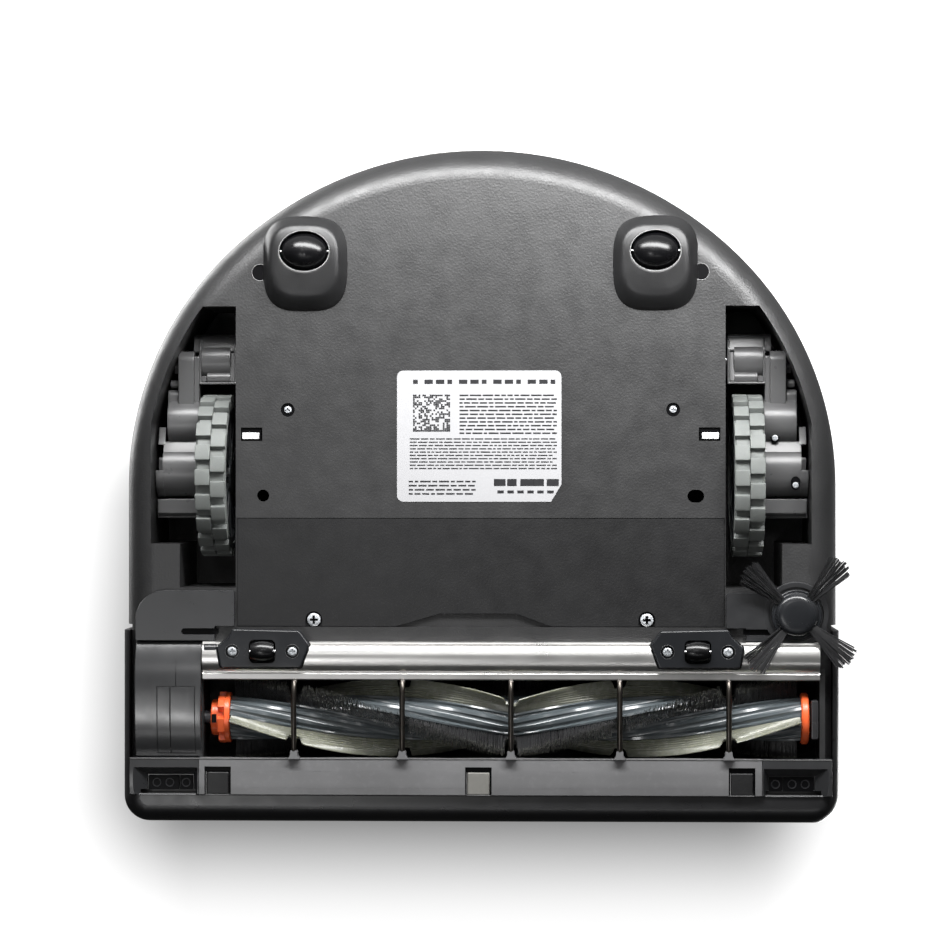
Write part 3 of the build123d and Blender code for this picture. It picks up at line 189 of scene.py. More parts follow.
def moulded(name, colour, rough, grain_mm=0.9, grain_depth=0.05, specular=0.5):
    """Injection-moulded plastic: fine grain, soft tone changes and faint rubbed patches."""
    n = Nodes(name)
    rubbed = n.spread(n.noise(3.2, detail=6.0), 0.0, 0.16, 0.52, 0.8)
    leather = n.bump(n.cells(grain_mm, "SMOOTH_F1"), grain_depth)
    n.surface(
        n.mix(rubbed, n.tones(colour, n.noise(38.0), 0.12), shade(colour, 2.0)),
        n.spread(n.noise(9.0, detail=5.0), rough - 0.05, rough + 0.06),
        n.bump(n.noise(0.35, detail=2.0), grain_depth * 0.4, below=leather),
        Specular_IOR_Level=specular,
    )


def glossy(name, colour, rough, coat=0.0, specular=0.5):
    """Smooth plastic with uneven gloss, fine handling marks and a faint ripple."""
    n = Nodes(name)
    ripple = n.bump(n.noise(16.0, detail=1.0), 0.02)
    n.surface(
        n.tones(colour, n.noise(22.0), 0.1),
        n.spread(n.noise(7.0, detail=4.0), rough - 0.03, rough + 0.04),
        n.bump(n.noise(0.5, detail=1.0), 0.002, below=ripple),
        Specular_IOR_Level=specular,
        Coat_Weight=coat,
        Coat_Roughness=0.1,
    )


def metal(name, colour, rough, brush=(1, 1, 1)):
    """Metal with drawn or ground lines along its length."""
    n = Nodes(name)
    lines = n.noise(0.6, detail=4.0, stretch=brush)
    n.surface(
        n.tones(colour, lines, 0.08),
        n.spread(lines, rough - 0.06, rough + 0.08),
        n.bump(lines, 0.01),
        Metallic=1.0,
    )


def satin(name, colour, rough):
    """Metallised finish: smooth, with soft tone changes and faint lengthwise streaks."""
    n = Nodes(name)
    streaks = n.noise(6.0, detail=3.0, stretch=(0.03, 1.0, 1.0))
    n.surface(
        n.mix(streaks, shade(colour, 0.92), shade(colour, 1.06)),
        n.spread(n.noise(16.0), rough - 0.03, rough + 0.04),
        n.bump(n.noise(30.0, detail=1.0), 0.02),
        Metallic=1.0,
    )


def rubbery(name, colour, rough, clear=0.0):
    """Soft rubber, dull and a little dusty in scattered specks; clear lets light through."""
    n = Nodes(name)
    speck = n.spread(n.noise(1.1, detail=6.0), 0.0, 0.3, 0.58, 0.78)
    n.surface(
        n.mix(speck, n.tones(colour, n.noise(11.0, detail=4.0), 0.08), shade(colour, 0.55)),
        n.spread(n.noise(4.0), rough - 0.07, rough + 0.07),
        n.bump(n.noise(0.5, detail=3.0), 0.04),
        Subsurface_Weight=clear,
        Subsurface_Radius=(1.0, 1.0, 0.7),
        Subsurface_Scale=0.002,
    )


def hairy(name, dark, light):
    """Nylon filaments, each a little different."""
    n = Nodes(name)
    strand = n.noise(0.5, detail=2.0)
    n.surface(
        n.mix(n.spread(strand, 0.0, 1.0), dark, light),
        n.spread(n.noise(2.0), 0.3, 0.5),
        n.bump(strand, 0.02),
        Sheen_Weight=0.1,
    )


def paper(name, colour):
    """Matt film or paper with a faint fibre."""
    n = Nodes(name)
    fibre = n.noise(0.8, detail=6.0)
    n.surface(
        n.mix(n.spread(fibre, 0.0, 1.0), shade(colour, 0.96), shade(colour, 1.02)),
        n.spread(n.noise(6.0), 0.38, 0.5),
        n.bump(fibre, 0.008),
    )


moulded("belly_plastic", (0.018, 0.018, 0.0185), 0.42, grain_depth=0.07, specular=0.72)
moulded("cover_plastic", (0.011, 0.011, 0.0115), 0.42, grain_depth=0.07, specular=0.45)
moulded("deck_plastic", (0.018, 0.018, 0.02), 0.34, grain_mm=0.5, grain_depth=0.02)
glossy("bumper_plastic", (0.014, 0.014, 0.015), 0.3, specular=0.8)
glossy("block_plastic", (0.02, 0.0205, 0.022), 0.3, specular=1.0)
moulded("strip_plastic", (0.165, 0.165, 0.168), 0.34, grain_mm=0.4, grain_depth=0.01)
satin("guard_metallic", (0.88, 0.87, 0.85), 0.3)
metal("wire_steel", (0.1, 0.09, 0.08), 0.3, brush=(3, 0.1, 3))
metal("pin_steel", (0.62, 0.62, 0.63), 0.2, brush=(0.1, 3, 3))
glossy("screw_zinc", (0.48, 0.5, 0.52), 0.22, coat=0.5)
paper("label_white", (0.42, 0.42, 0.43))
glossy("window_white", (0.7, 0.7, 0.7), 0.25)
# dark windows; the same black is also laid as painted shade in holes, wells, pits, slots and round screws
glossy("window_dark", (0.0025, 0.0025, 0.003), 0.4, specular=0.1)
moulded("pad_grey", (0.2, 0.195, 0.18), 0.36, grain_mm=0.3, grain_depth=0.01)
glossy("battery_wrap", (0.05, 0.12, 0.3), 0.3)
glossy("board_green", (0.02, 0.16, 0.07), 0.35)
metal("contact_metal", (0.55, 0.54, 0.52), 0.28, brush=(0.1, 3, 3))
moulded("duct_plastic", (0.05, 0.05, 0.055), 0.4)
metal("motor_can", (0.5, 0.51, 0.53), 0.3)
glossy("bin_smoke", (0.06, 0.06, 0.065), 0.15)
paper("filter_paper", (0.78, 0.77, 0.72))
metal("spring_steel", (0.5, 0.5, 0.52), 0.25)
glossy("roller_black", (0.003, 0.003, 0.0035), 0.24)
glossy("gearbox_grey", (0.085, 0.085, 0.086), 0.3)
moulded("hub_grey", (0.07, 0.075, 0.08), 0.45)
rubbery("tyre_rubber", (0.15, 0.16, 0.153), 0.6, clear=0.03)
glossy("brush_tube", (0.085, 0.1, 0.108), 0.2, coat=0.5)
rubbery("flap_rubber", (0.23, 0.235, 0.19), 0.26, clear=0.3)
hairy("bristle_black", (0.005, 0.005, 0.006), (0.035, 0.035, 0.038))
glossy("cap_orange", (0.85, 0.13, 0.035), 0.3)
rubbery("belt_rubber", (0.02, 0.02, 0.02), 0.6)
glossy("hub_black", (0.014, 0.015, 0.017), 0.24)
hairy("tuft_black", (0.002, 0.002, 0.003), (0.011, 0.011, 0.012))
# darker copy of the belly plastic for the caster bosses, which are moulded with the belly: painted shade
moulded("boss_plastic", (0.013, 0.013, 0.0135), 0.36, grain_mm=0.7, grain_depth=0.02)
hairy("bristle_tip", (0.04, 0.04, 0.036), (0.12, 0.12, 0.1))
# light grey for painted highlight lines on edges and rims, and for the dots on the two buttons
glossy("painted_highlight_and_mark", (0.2, 0.2, 0.2), 0.25)
# faint painted highlight round the screw wells of the roller blocks, lighter than the block
glossy("faint_painted_highlight", (0.06, 0.06, 0.062), 0.3)
glossy("lens_dark", (0.012, 0.012, 0.014), 0.4)
paper("ink_black", (0.015, 0.015, 0.017))
# lighter copy of block_plastic for the belt housing and its cap: painted highlight, as the housing is
# moulded with the darker corner plate
glossy("cap_plastic", (0.036, 0.0365, 0.038), 0.22, specular=1.0)
glossy("bearing_grey", (0.035, 0.035, 0.037), 0.25)


def paint_cad_nodes():
    """Give every CAD node the material of its slot."""
    slots = {part["node"]: part["material_slot"] for part in frame["record"]["subparts"]}
    for name, node in frame["nodes"].items():
        node.data.materials.clear()
        node.data.materials.append(MATERIALS[slots[name]])
        node.data.shade_smooth()
        node.modifiers.new("soft_edges", "WEIGHTED_NORMAL").keep_sharp = True


# --- mesh building ----------------------------------------------------------------------

def bevelled(mesh, size, segments=2):
    """Round the edges where two faces meet at more than 30 degrees."""
    bmesh.ops.recalc_face_normals(mesh, faces=mesh.faces)
    limit = math.radians(30.0)
    edges = [e for e in mesh.edges if len(e.link_faces) == 2 and e.calc_face_angle(0.0) > limit]
    bmesh.ops.bevel(
        mesh, geom=edges, offset=size, segments=segments, profile=0.5, affect="EDGES", clamp_overlap=True
    )
    return mesh


def box(lo, hi, edge=0.4, segments=2):
    """Box between two corners, its edges rounded."""
    mesh = bmesh.new()
    bmesh.ops.create_cube(mesh, size=1.0)
    for vert in mesh.verts:
        vert.co = Vector(lo[i] + (vert.co[i] + 0.5) * (hi[i] - lo[i]) for i in range(3))
    return bevelled(mesh, edge, segments) if edge else mesh


def rounded(points, radius, steps=6):
    """Polygon whose corners become arcs. radius is one number, or one for each corner."""
    radii = radius if isinstance(radius, (list, tuple)) else [radius] * len(points)
    outline = []
    for index, corner in enumerate(points):
        here = Vector(corner)
        before = (Vector(points[index - 1]) - here).normalized()
        after = (Vector(points[(index + 1) % len(points)]) - here).normalized()
        half = before.angle(after) / 2
        size = radii[index]
        if size <= 0:
            outline.append(here)
            continue
        centre = here + (before + after).normalized() * (size / math.sin(half))
        first = here + before * (size / math.tan(half)) - centre
        last = here + after * (size / math.tan(half)) - centre
        turn = first.angle_signed(last)
        for step in range(steps + 1):
            arm = first.copy()
            arm.rotate(Matrix.Rotation(-turn * step / steps, 2))
            outline.append(centre + arm)
    return outline


def rectangle(x0, x1, y0, y1, radius):
    """Rounded rectangle in plan."""
    return rounded([(x0, y0), (x1, y0), (x1, y1), (x0, y1)], radius)


def prism(outline, z0, z1, edge=0.3, segments=2):
    """Plan outline raised from z0 to z1, its edges rounded."""
    mesh = skin([[(p[0], p[1], z) for p in outline] for z in (z0, z1)])
    return bevelled(mesh, edge, segments) if edge else mesh


def slab(outline, x0, x1, edge=0.4, segments=2):
    """Outline of (Y, Z) points drawn out along X, its edges rounded."""
    mesh = skin([[(x, p[0], p[1]) for p in outline] for x in (x0, x1)])
    return bevelled(mesh, edge, segments) if edge else mesh


def arc(centre, radius, start, end, steps=16):
    """Points on an arc, angles in degrees."""
    points = []
    for step in range(steps + 1):
        turn = math.radians(start + (end - start) * step / steps)
        points.append((centre[0] + radius * math.cos(turn), centre[1] + radius * math.sin(turn)))
    return points


def skin(rings, loop=False, caps=True):
    """Surface through closed rings of points that all have the same count."""
    mesh = bmesh.new()
    rows = [[mesh.verts.new(p) for p in ring] for ring in rings]
    pairs = list(zip(rows, rows[1:])) + ([(rows[-1], rows[0])] if loop else [])
    count = len(rows[0])
    for one, two in pairs:
        for i in range(count):
            j = (i + 1) % count
            mesh.faces.new((one[i], one[j], two[j], two[i]))
    if caps and not loop:
        mesh.faces.new(rows[0])
        mesh.faces.new(rows[-1])
    return mesh


def lathe(profile, centre=(0, 0, 0), axis="X", steps=64, loop=False):
    """Profile of (along, radius) points turned about an axis through centre."""
    rings = []
    for along, radius in profile:
        ring = []
        for step in range(steps):
            turn = math.tau * step / steps
            across, up = max(radius, 1e-3) * math.cos(turn), max(radius, 1e-3) * math.sin(turn)
            local = (along, across, up) if axis == "X" else (across, up, along)
            ring.append(Vector(centre) + Vector(local))
        rings.append(ring)
    return skin(rings, loop=loop)


def tube(path, radius, steps=14):
    """Round wire along a path, closed at both ends."""
    path = [Vector(p) for p in path]
    side = None
    rings = []
    for index, point in enumerate(path):
        ahead = (path[min(index + 1, len(path) - 1)] - path[max(index - 1, 0)]).normalized()
        side = ahead.orthogonal() if side is None else side - ahead * side.dot(ahead)
        side.normalize()
        up = ahead.cross(side)
        turns = [math.tau * s / steps for s in range(steps)]
        rings.append([point + (side * math.cos(a) + up * math.sin(a)) * radius for a in turns])
    return skin(rings)


def oval(x, y, half_x, half_y, z, power=2.0, count=72):
    """Ring in plan: an ellipse, or a squarer oval for a higher power."""
    ring = []
    for step in range(count):
        turn = math.tau * step / count
        c, s = math.cos(turn), math.sin(turn)
        ring.append((
            x + math.copysign(abs(c) ** (2 / power), c) * half_x,
            y + math.copysign(abs(s) ** (2 / power), s) * half_y,
            z,
        ))
    return ring


def rim(x, y, half_x, half_y, z, thick, drop, count=72):
    """Fine raised line round an oval mouth: thick is its half width, drop its half height."""
    rings = []
    for step in range(8):
        turn = math.tau * step / 8
        grow = thick * math.cos(turn)
        rings.append(oval(x, y, half_x + grow, half_y + grow, z - drop * math.sin(turn), 2.0, count))
    return skin(rings, loop=True)


def as_object(mesh):
    """Throw-away object that holds a mesh for a boolean cut."""
    bmesh.ops.recalc_face_normals(mesh, faces=mesh.faces)
    data = bpy.data.meshes.new("scrap")
    mesh.to_mesh(data)
    mesh.free()
    item = bpy.data.objects.new("scrap", data)
    bpy.context.scene.collection.objects.link(item)
    return item


def carve(mesh, cutters):
    """mesh with the cutters taken away."""
    body = as_object(mesh)
    tools = [as_object(cutter) for cutter in cutters]
    for tool in tools:
        step = body.modifiers.new("cut", "BOOLEAN")
        step.operation = "DIFFERENCE"
        step.solver = "EXACT"
        step.object = tool
    bpy.context.view_layer.update()
    result = bmesh.new()
    result.from_object(body, bpy.context.evaluated_depsgraph_get())
    for item in [body, *tools]:
        data = item.data
        bpy.data.objects.remove(item)
        bpy.data.meshes.remove(data)
    return result


def joined(parts):
    """Several meshes as one."""
    whole = bmesh.new()
    for part in parts:
        scrap = bpy.data.meshes.new("scrap")
        part.to_mesh(scrap)
        part.free()
        whole.from_mesh(scrap)
        bpy.data.meshes.remove(scrap)
    return whole


def moved(mesh, matrix):
    """mesh after a transform."""
    bmesh.ops.transform(mesh, matrix=matrix, verts=mesh.verts)
    return mesh


def flipped(mesh, hand):
    """A left-hand mesh, mirrored for the right side."""
    return moved(mesh, Matrix.Diagonal((hand, 1, 1, 1)))


def piece(name, mesh, material, body="chassis", replaces=(), angle=32.0, more=()):
    """Turn a mesh in millimetres into a named piece that rides on a body."""
    bmesh.ops.recalc_face_normals(mesh, faces=mesh.faces)
    moved(mesh, Matrix.Scale(MM, 4))
    data = bpy.data.meshes.new(name)
    mesh.to_mesh(data)
    mesh.free()
    data.shade_smooth()
    data.set_sharp_from_angle(angle=math.radians(angle))
    for slot in (material, *more):
        data.materials.append(MATERIALS[slot])
    item = bpy.data.objects.new(name, data)
    bpy.context.scene.collection.objects.link(item)
    item.modifiers.new("flat_faces", "WEIGHTED_NORMAL").keep_sharp = True
    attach(item, body)
    if replaces:
        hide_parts(*replaces)
    return item


# --- drive wheels -----------------------------------------------------------------------

def lugged_tyre(hand):
    """Rubber tyre with two staggered rows of chamfered lugs."""
    side = SIDE_NAMES[hand]
    half, outer, floor_r, inner = 7.0, 38.0, 35.3, 31.9
    band = [
        (-half, inner), (-half, floor_r - 1.2), (-half + 1.0, floor_r), (half - 1.0, floor_r),
        (half, floor_r - 1.2), (half, inner),
    ]
    parts = [lathe(band, steps=120, loop=True)]
    # angle from straight down to the nearest lug, on the inner and the outer row
    starts = {LEFT: (8.1, -1.3), RIGHT: (-1.7, 6.8)}[hand]
    pitch = 18.0
    for (x0, x1), start in zip(((-half, -0.04), (0.04, half)), starts):
        for index in range(20):
            middle = start - 90.0 + pitch * index
            top = arc((0, 0), outer, middle - 5.6, middle + 5.6, 4)
            foot = arc((0, 0), floor_r - 0.6, middle + 6.0, middle - 6.0, 2)
            parts.append(slab(top + foot, x0, x1, 0.45, 2))
    mesh = moved(joined(parts), Matrix.Translation((WHEEL_X, 0, WHEEL_Z)))
    piece(f"lugged_tyre_{side}", flipped(mesh, hand), "tyre_rubber", f"wheel_{side}", [f"tyre_{side}"])


def ribbed_wheel(hand):
    """Dished wheel body with ribs on its inner face and the axle stub on the outer."""
    side = SIDE_NAMES[hand]
    inner, outer = WHEEL_X - 7.0, WHEEL_X + 7.0
    profile = [
        (inner + 0.6, 0.0), (inner + 0.6, 8.0), (inner + 1.0, 8.6), (inner + 3.0, 9.0),
        (inner + 3.2, 10.5), (inner + 3.2, 27.6), (inner + 2.8, 28.4), (inner + 0.9, 29.0),
        (inner + 0.5, 29.8), (inner + 0.5, 31.95), (outer - 0.5, 31.95), (outer - 0.5, 4.0),
        (138.0, 4.0), (138.0, 0.0),
    ]
    parts = [lathe(profile, (0, 0, WHEEL_Z), steps=96)]
    for index in range(12):
        rib = box((inner + 1.2, 8.0, -0.7), (inner + 3.6, 29.0, 0.7), 0.3)
        turn = Matrix.Rotation(math.tau * index / 12, 4, "X")
        parts.append(moved(rib, Matrix.Translation((0, 0, WHEEL_Z)) @ turn))
    mesh = flipped(joined(parts), hand)
    piece(f"ribbed_wheel_{side}", mesh, "hub_grey", f"wheel_{side}", [f"wheel_hub_{side}"])


def swing_arm(hand):
    """Sprung arm: hood round the pivot, arm plate, motor barrel and stepped gear case."""
    side = SIDE_NAMES[hand]
    motor, gears = (25.2, 36.6), (2.4, 37.9)
    fin = [(43.0, 31.2), (43.0, 42.0), (52.0, 52.0), (65.0, 46.0), (64.6, 36.0), (60.0, 31.2)]
    fin_radii = [0.8, 1.0, 3.0, 3.0, 6.0, 4.0]
    web = [(43.0, 32.5), (43.0, 42.0), (52.0, 50.0), (62.0, 44.0), (61.5, 36.0)]
    bridge = [(57.8, 34.0), (57.8, 46.0), (66.4, 46.0), (66.4, 36.5)]
    arm = [(31.0, 29.6), (31.0, 46.0), (58.2, 46.0), (58.2, 31.0), (55.0, 28.4)]
    inner_arm = [(31.0, 30.4), (31.0, 46.0), (56.0, 46.0), (56.0, 30.4)]
    outer_arm = [(31.0, 31.2), (31.0, 46.0), (40.2, 46.0), (40.2, 31.2)]
    foot = [(-11.0, 27.6), (-11.0, 40.0), (-19.2, 40.0), (-19.2, 30.4), (-17.6, 27.6)]
    foot_core = [(-11.0, 30.6), (-11.0, 40.0), (-20.0, 40.0), (-20.0, 31.2)]
    # outline of (Y, Z) points, its corner radii, from X, to X, edge radius
    plates = [
        (fin, fin_radii, 114.9, 116.1, 0.3),
        (web, 1.5, 116.0, 118.4, 0.5),
        (fin, fin_radii, 131.5, 132.5, 0.3),
        (bridge, [1, 1, 1, 4], 115.4, 135.6, 0.5),
        (arm, [1, 1, 1, 2, 4], 134.6, 142.2, 0.7),
        (inner_arm, 1.0, 132.4, 135.2, 0.35),
        (outer_arm, [1, 1, 1, 3], 142.0, 147.4, 0.8),
        (foot, [0.3, 1, 1, 1.4, 0.8], 131.7, 151.4, 0.35),
        (foot_core, 0.8, 131.9, 152.2, 0.5),
    ]
    parts = [slab(rounded(points, radii), x0, x1, edge) for points, radii, x0, x1, edge in plates]
    barrel = arc(motor, 11.0, 90, 450, 64)[:-1]
    gear_top = [(16.0, 50.0), (16.0, 30.6), (15.4, 29.9), (11.0, 28.2), (10.6, 27.6)]
    case = gear_top + arc(gears, 13.1, -50, -172, 40) + [(-11.0, 50.0)]
    ledge = [(22.8, 50.0), (22.8, 33.4), (14.4, 29.2), (13.8, 50.0)]
    post = [(8.6, 50.0), (8.6, 31.6), (7.8, 30.8), (2.2, 30.8), (1.8, 50.0)]
    cover = [(2.2, 50.0), (2.2, 27.4)] + arc(gears, 13.3, -90, -160, 24) + [(-10.2, 50.0)]
    stud = [(143.0, 0), (143.0, 2.0), (146.2, 2.0), (146.6, 1.6), (146.6, 0)]
    low_stud = [(142.4, 0), (142.4, 1.7), (144.6, 1.7), (145.0, 1.3), (145.0, 0)]
    parts += [
        slab(barrel, 131.6, 147.0, 0.5),
        slab(case, 131.6, 149.0, 0.35),
        slab(ledge, 148.2, 151.6, 0.4),
        slab(post, 147.8, 151.6, 0.8),
        slab(cover, 148.6, 152.3, 0.35),
        box((114.9, 42.8, 30.9), (132.5, 43.7, 40.0), 0.3),
        box((129.2, 43.9, 31.4), (131.6, 46.6, 34.0), 0.3),
        lathe([(118.2, 3.0), (118.2, 9.6), (131.6, 9.6), (131.6, 3.0)], (0, 54.0, 42.0), steps=96),
        lathe(stud, (0, 43.0, 36.0), steps=28),
        lathe(low_stud, (0, 51.5, 37.0), steps=28),
        lathe([(118.0, 0), (118.0, 3.2), (129.0, 3.2), (129.0, 0)], (0, 45.8, 36.5), steps=32),
    ]
    mesh = flipped(joined(parts), hand)
    piece(f"swing_arm_{side}", mesh, "gearbox_grey", f"arm_{side}", [f"drive_gearbox_{side}"])


def arm_screws():
    """Two sunk screws that close the right gear case, with dark cups of painted shade in their wells."""
    wells, heads = [], []
    for x, y, z in ((-136.9, 18.4, 28.9), (-146.2, -3.6, 25.2)):
        # dark cup in each well: painted shade
        well = oval(x, y, 2.2, 3.2, z - 0.6, 2.2, 40)
        floor = oval(x, y, 1.9, 2.9, z + 2.6, 2.2, 40)
        wells.append(skin([well, oval(x, y, 2.05, 3.05, z - 0.9, 2.2, 40), floor]))
        heads.append(moved(cross_head(1.45, 0.7), Matrix.Translation((x, y - 0.9, z - 0.9))))
    piece("arm_screw_well_shade", joined(wells), "window_dark", "arm_right")
    piece("arm_screw_heads", joined(heads), "screw_zinc", "arm_right")


def cross_head(radius, height):
    """Pan-head cross screw that points down from z = 0."""
    head = lathe(
        [(0.6, radius * 0.96), (0.0, radius), (-height * 0.45, radius * 0.97),
         (-height * 0.8, radius * 0.8), (-height, radius * 0.45), (-height, 0.0)],
        axis="Z", steps=48,
    )
    arm, width = radius * 0.62, radius * 0.19
    cutters = [
        box((-arm, -width, -height - 1), (arm, width, -height * 0.25), 0),
        box((-width, -arm, -height - 1), (width, arm, -height * 0.25), 0),
    ]
    return carve(head, cutters)


def painted_shade_cross(radius):
    """Dark cross of painted shade at the floor of a cross recess."""
    arm, width = radius * 0.6, radius * 0.17
    return joined([
        box((-arm, -width, -radius * 0.16), (arm, width, -radius * 0.1), 0),
        box((-width, -arm, -radius * 0.16), (width, arm, -radius * 0.1), 0),
    ])


# --- casters ----------------------------------------------------------------------------

def caster_boss(hand):
    """Smooth boss that swells out of the belly round one caster, with a rolled lip."""
    x, y = hand * CASTER[0], CASTER[1]
    # forward shift, half width, half length, height, squareness
    levels = [
        (5.5, 19.9, 22.2, 12.5, 3.2), (5.5, 19.5, 21.8, 11.98, 3.2), (5.5, 19.15, 21.4, 11.2, 3.2),
        (5.3, 18.5, 20.6, 10.0, 3.2), (5.0, 17.8, 19.4, 8.6, 3.1), (4.7, 17.0, 18.2, 7.2, 3.0),
        (4.3, 16.2, 17.1, 6.1, 2.9), (3.9, 15.4, 16.0, 5.3, 2.8), (2.9, 14.3, 14.2, 4.95, 2.5),
        (1.4, 13.1, 11.8, 4.6, 2.2), (0.4, 12.3, 10.2, 4.4, 2.0), (0.0, 11.95, 9.7, 4.4, 2.0),
        (0.0, 11.7, 9.45, 4.7, 2.0), (0.0, 11.55, 9.3, 5.6, 2.0), (0.0, 11.5, 9.25, 14.0, 2.0),
    ]
    rings = [oval(x, y - shift, hx, hy, z, power) for shift, hx, hy, z, power in levels]
    # the boss is darker than the belly around it: painted shade
    piece(f"caster_boss_{SIDE_NAMES[hand]}", skin(rings, caps=False), "boss_plastic", angle=70)
    # light lip round the caster's mouth: painted highlight
    lip = rim(x, y, 11.72, 9.47, 4.62, 0.26, 0.26)
    piece(f"caster_lip_highlight_{SIDE_NAMES[hand]}", lip, "painted_highlight_and_mark", angle=90)


def egg_roller(hand):
    """Polished egg-shaped roller with a moulding seam round its middle."""
    side = SIDE_NAMES[hand]
    reach, radius, half, steps = 11.5, 8.5, 10.3, 44
    profile = [(-half, 0.0)]
    for index in range(steps + 1):
        along = -half + 2 * half * index / steps
        seam = 0.1 if index == steps // 2 else 0.0
        profile.append((along, radius * math.sqrt(1 - (along / reach) ** 2) - seam))
    profile.append((half, 0.0))
    mesh = lathe(profile, (hand * CASTER[0], CASTER[1], radius), steps=96)
    piece(f"egg_roller_{side}", mesh, "roller_black", f"caster_{side}", [f"caster_roller_{side}"])


def caster_pin_ends():
    """Bright ends of the caster pins beside the rollers."""
    parts = []
    for hand in (LEFT, RIGHT):
        for end in (-1, 1):
            place = (hand * CASTER[0] + end * 10.95, CASTER[1], 7.0)
            stub = [(-0.5, 0), (-0.5, 0.5), (-0.25, 0.75), (0.25, 0.75), (0.5, 0.5), (0.5, 0)]
            parts.append(lathe(stub, place, steps=24))
    piece("caster_pin_ends", joined(parts), "pin_steel")


def belly_details():
    """Painted highlights on the rims of the belly's holes, dark linings of painted shade in the holes and in
    the sensor recesses.
    """
    rims, wells = [], []
    for hand in (LEFT, RIGHT):
        x, y = hand * BELLY_HOLE[0], BELLY_HOLE[1]
        # light rim round each hole: painted highlight
        rims.append(rim(x, y, 3.85, 3.85, BELLY_Z, 0.16, 0.12))
        # dark lining inside each hole: painted shade
        wells.append(lathe([(12.4, 3.69), (14.3, 3.6), (14.3, 0)], (x, y, 0), axis="Z", steps=48))
    piece("hole_rim_highlights", joined(rims), "painted_highlight_and_mark", angle=90)
    piece("hole_shade_linings", joined(wells), "window_dark", angle=60)
    panes, frames = [], []
    for hand in (LEFT, RIGHT):
        x0, x1 = sorted((hand * 101.5, hand * 110.5))
        # the bright pane fills the forward outer part of the recess; a dark box of painted shade fills the
        # rest
        near, far = sorted((hand * 102.4, hand * 110.2))
        panes.append(box((near, 16.9, 11.9), (far, 19.9, 13.2), 0.25))
        frames.append(box((x0, 16.1, 13.0), (x1, 22.1, 14.3), 0.2))
    piece("drop_sensor_panes", joined(panes), "window_white", "chassis", ["drop_windows"])
    piece("drop_sensor_shade", joined(frames), "window_dark")


# --- main brush -------------------------------------------------------------------------

def brush_point(x, radius, turn):
    """Place at a radius and angle about the brush's axis."""
    return Vector((x, BRUSH_Y + radius * math.cos(turn), BRUSH_Z + radius * math.sin(turn)))


def brush_turn(start, distance):
    """Angle of a row at a distance from the brush's middle."""
    return math.radians(start) + TWIST_PER_MM * abs(distance)


def brush_stations(margin, pitch):
    """Distances along the brush, one exactly at its middle."""
    reach = BRUSH_HALF_L - margin
    count = round(reach / pitch)
    return [reach * index / count for index in range(-count, count + 1)]


def ribbed_tube():
    """Brush tube whose moulded ribs and channel lips follow the twist."""
    # height above the tube through one quarter turn, from one channel to the next
    ribs = [(0, -0.5), (8, -0.5), (11, 1.1), (16, 1.1), (19, -0.1), (25, 0.0), (29, 0.65), (37, 0.7),
            (41, 0.0), (47, 0.0), (51, 0.7), (59, 0.65), (63, 0.0), (68, -0.1), (71, 1.1), (76, 1.1),
            (79, -0.5), (85, -0.5)]
    rings = []
    for distance in brush_stations(0.0, 1.8):
        base = brush_turn(FLAP_TURNS[0], distance)
        ring = []
        for quarter in range(4):
            for degrees, height in ribs:
                turn = base + math.radians(90 * quarter + degrees)
                ring.append(brush_point(BRUSH_MID_X + distance, CORE_R - 0.3 + height, turn))
        rings.append(ring)
    piece("ribbed_brush_tube", skin(rings), "brush_tube", "brush", ["brush_core"], angle=45)
    x0, x1 = BRUSH_RIGHT_X - 8.0, BRUSH_RIGHT_X + 1
    profile = [(x0, 0), (x0, 2.6), (x0 + 0.4, 3.0), (x1, 3.0), (x1, 0)]
    journal = lathe(profile, (0, BRUSH_Y, BRUSH_Z), steps=32)
    piece("brush_journal", journal, "pin_steel", "brush")


def reach_at(x, full, low):
    """Largest radius at x: low beside a guard wire, full elsewhere."""
    gap = min(abs(x - wire) for wire in WIRE_XS)
    share = min(1.0, max(0.0, (gap - 2.5) / 1.1))
    return low + (full - low) * share


def soft_flaps():
    """Two translucent flaps: ribbed foot and thin fin, notched for the guard wires."""
    flank = [(8.6, 2.4), (9.7, 2.3), (10.2, 1.5), (10.7, 1.9), (11.2, 1.1), (11.7, 1.5), (12.2, 0.85),
             (12.7, 1.15), (13.2, 0.7), (13.7, 0.95), (14.2, 0.6), (14.8, 0.8), (15.4, 0.5), (16.0, 0.7),
             (16.8, 0.45), (17.5, 0.5), (18.0, 0.2)]
    parts = []
    for start in FLAP_TURNS:
        rings = []
        for distance in brush_stations(0.6, 1.0):
            x = BRUSH_MID_X + distance
            turn = brush_turn(start, distance)
            limit = reach_at(x, 18.0, 14.2)
            ring = []
            for sign, points in ((1, flank), (-1, flank[::-1])):
                for radius, half in points:
                    reach = min(radius, limit - (18.0 - radius) * 0.01)
                    ring.append(brush_point(x, reach, turn + sign * half / reach))
            rings.append(ring)
        parts.append(skin(rings))
    piece("soft_brush_flaps", joined(parts), "flap_rubber", "brush", ["brush_flaps"], angle=40)


def filament(mesh, root, tip, thick, tip_slot=1):
    """Thin three-sided bristle whose end may be another colour."""
    ahead = (tip - root).normalized()
    side = ahead.orthogonal().normalized()
    up = ahead.cross(side)
    rings = []
    for share, size in ((0.0, thick), (0.9, thick * 0.9), (1.0, thick * 0.8)):
        centre = root.lerp(tip, share)
        turns = (0.0, math.tau / 3, 2 * math.tau / 3)
        arms = [(side * math.cos(a) + up * math.sin(a)) * size for a in turns]
        rings.append([mesh.verts.new(centre + arm) for arm in arms])
    for level, (one, two) in enumerate(zip(rings, rings[1:])):
        for i in range(3):
            j = (i + 1) % 3
            mesh.faces.new((one[i], one[j], two[j], two[i])).material_index = level * tip_slot
    mesh.faces.new(rings[-1]).material_index = tip_slot


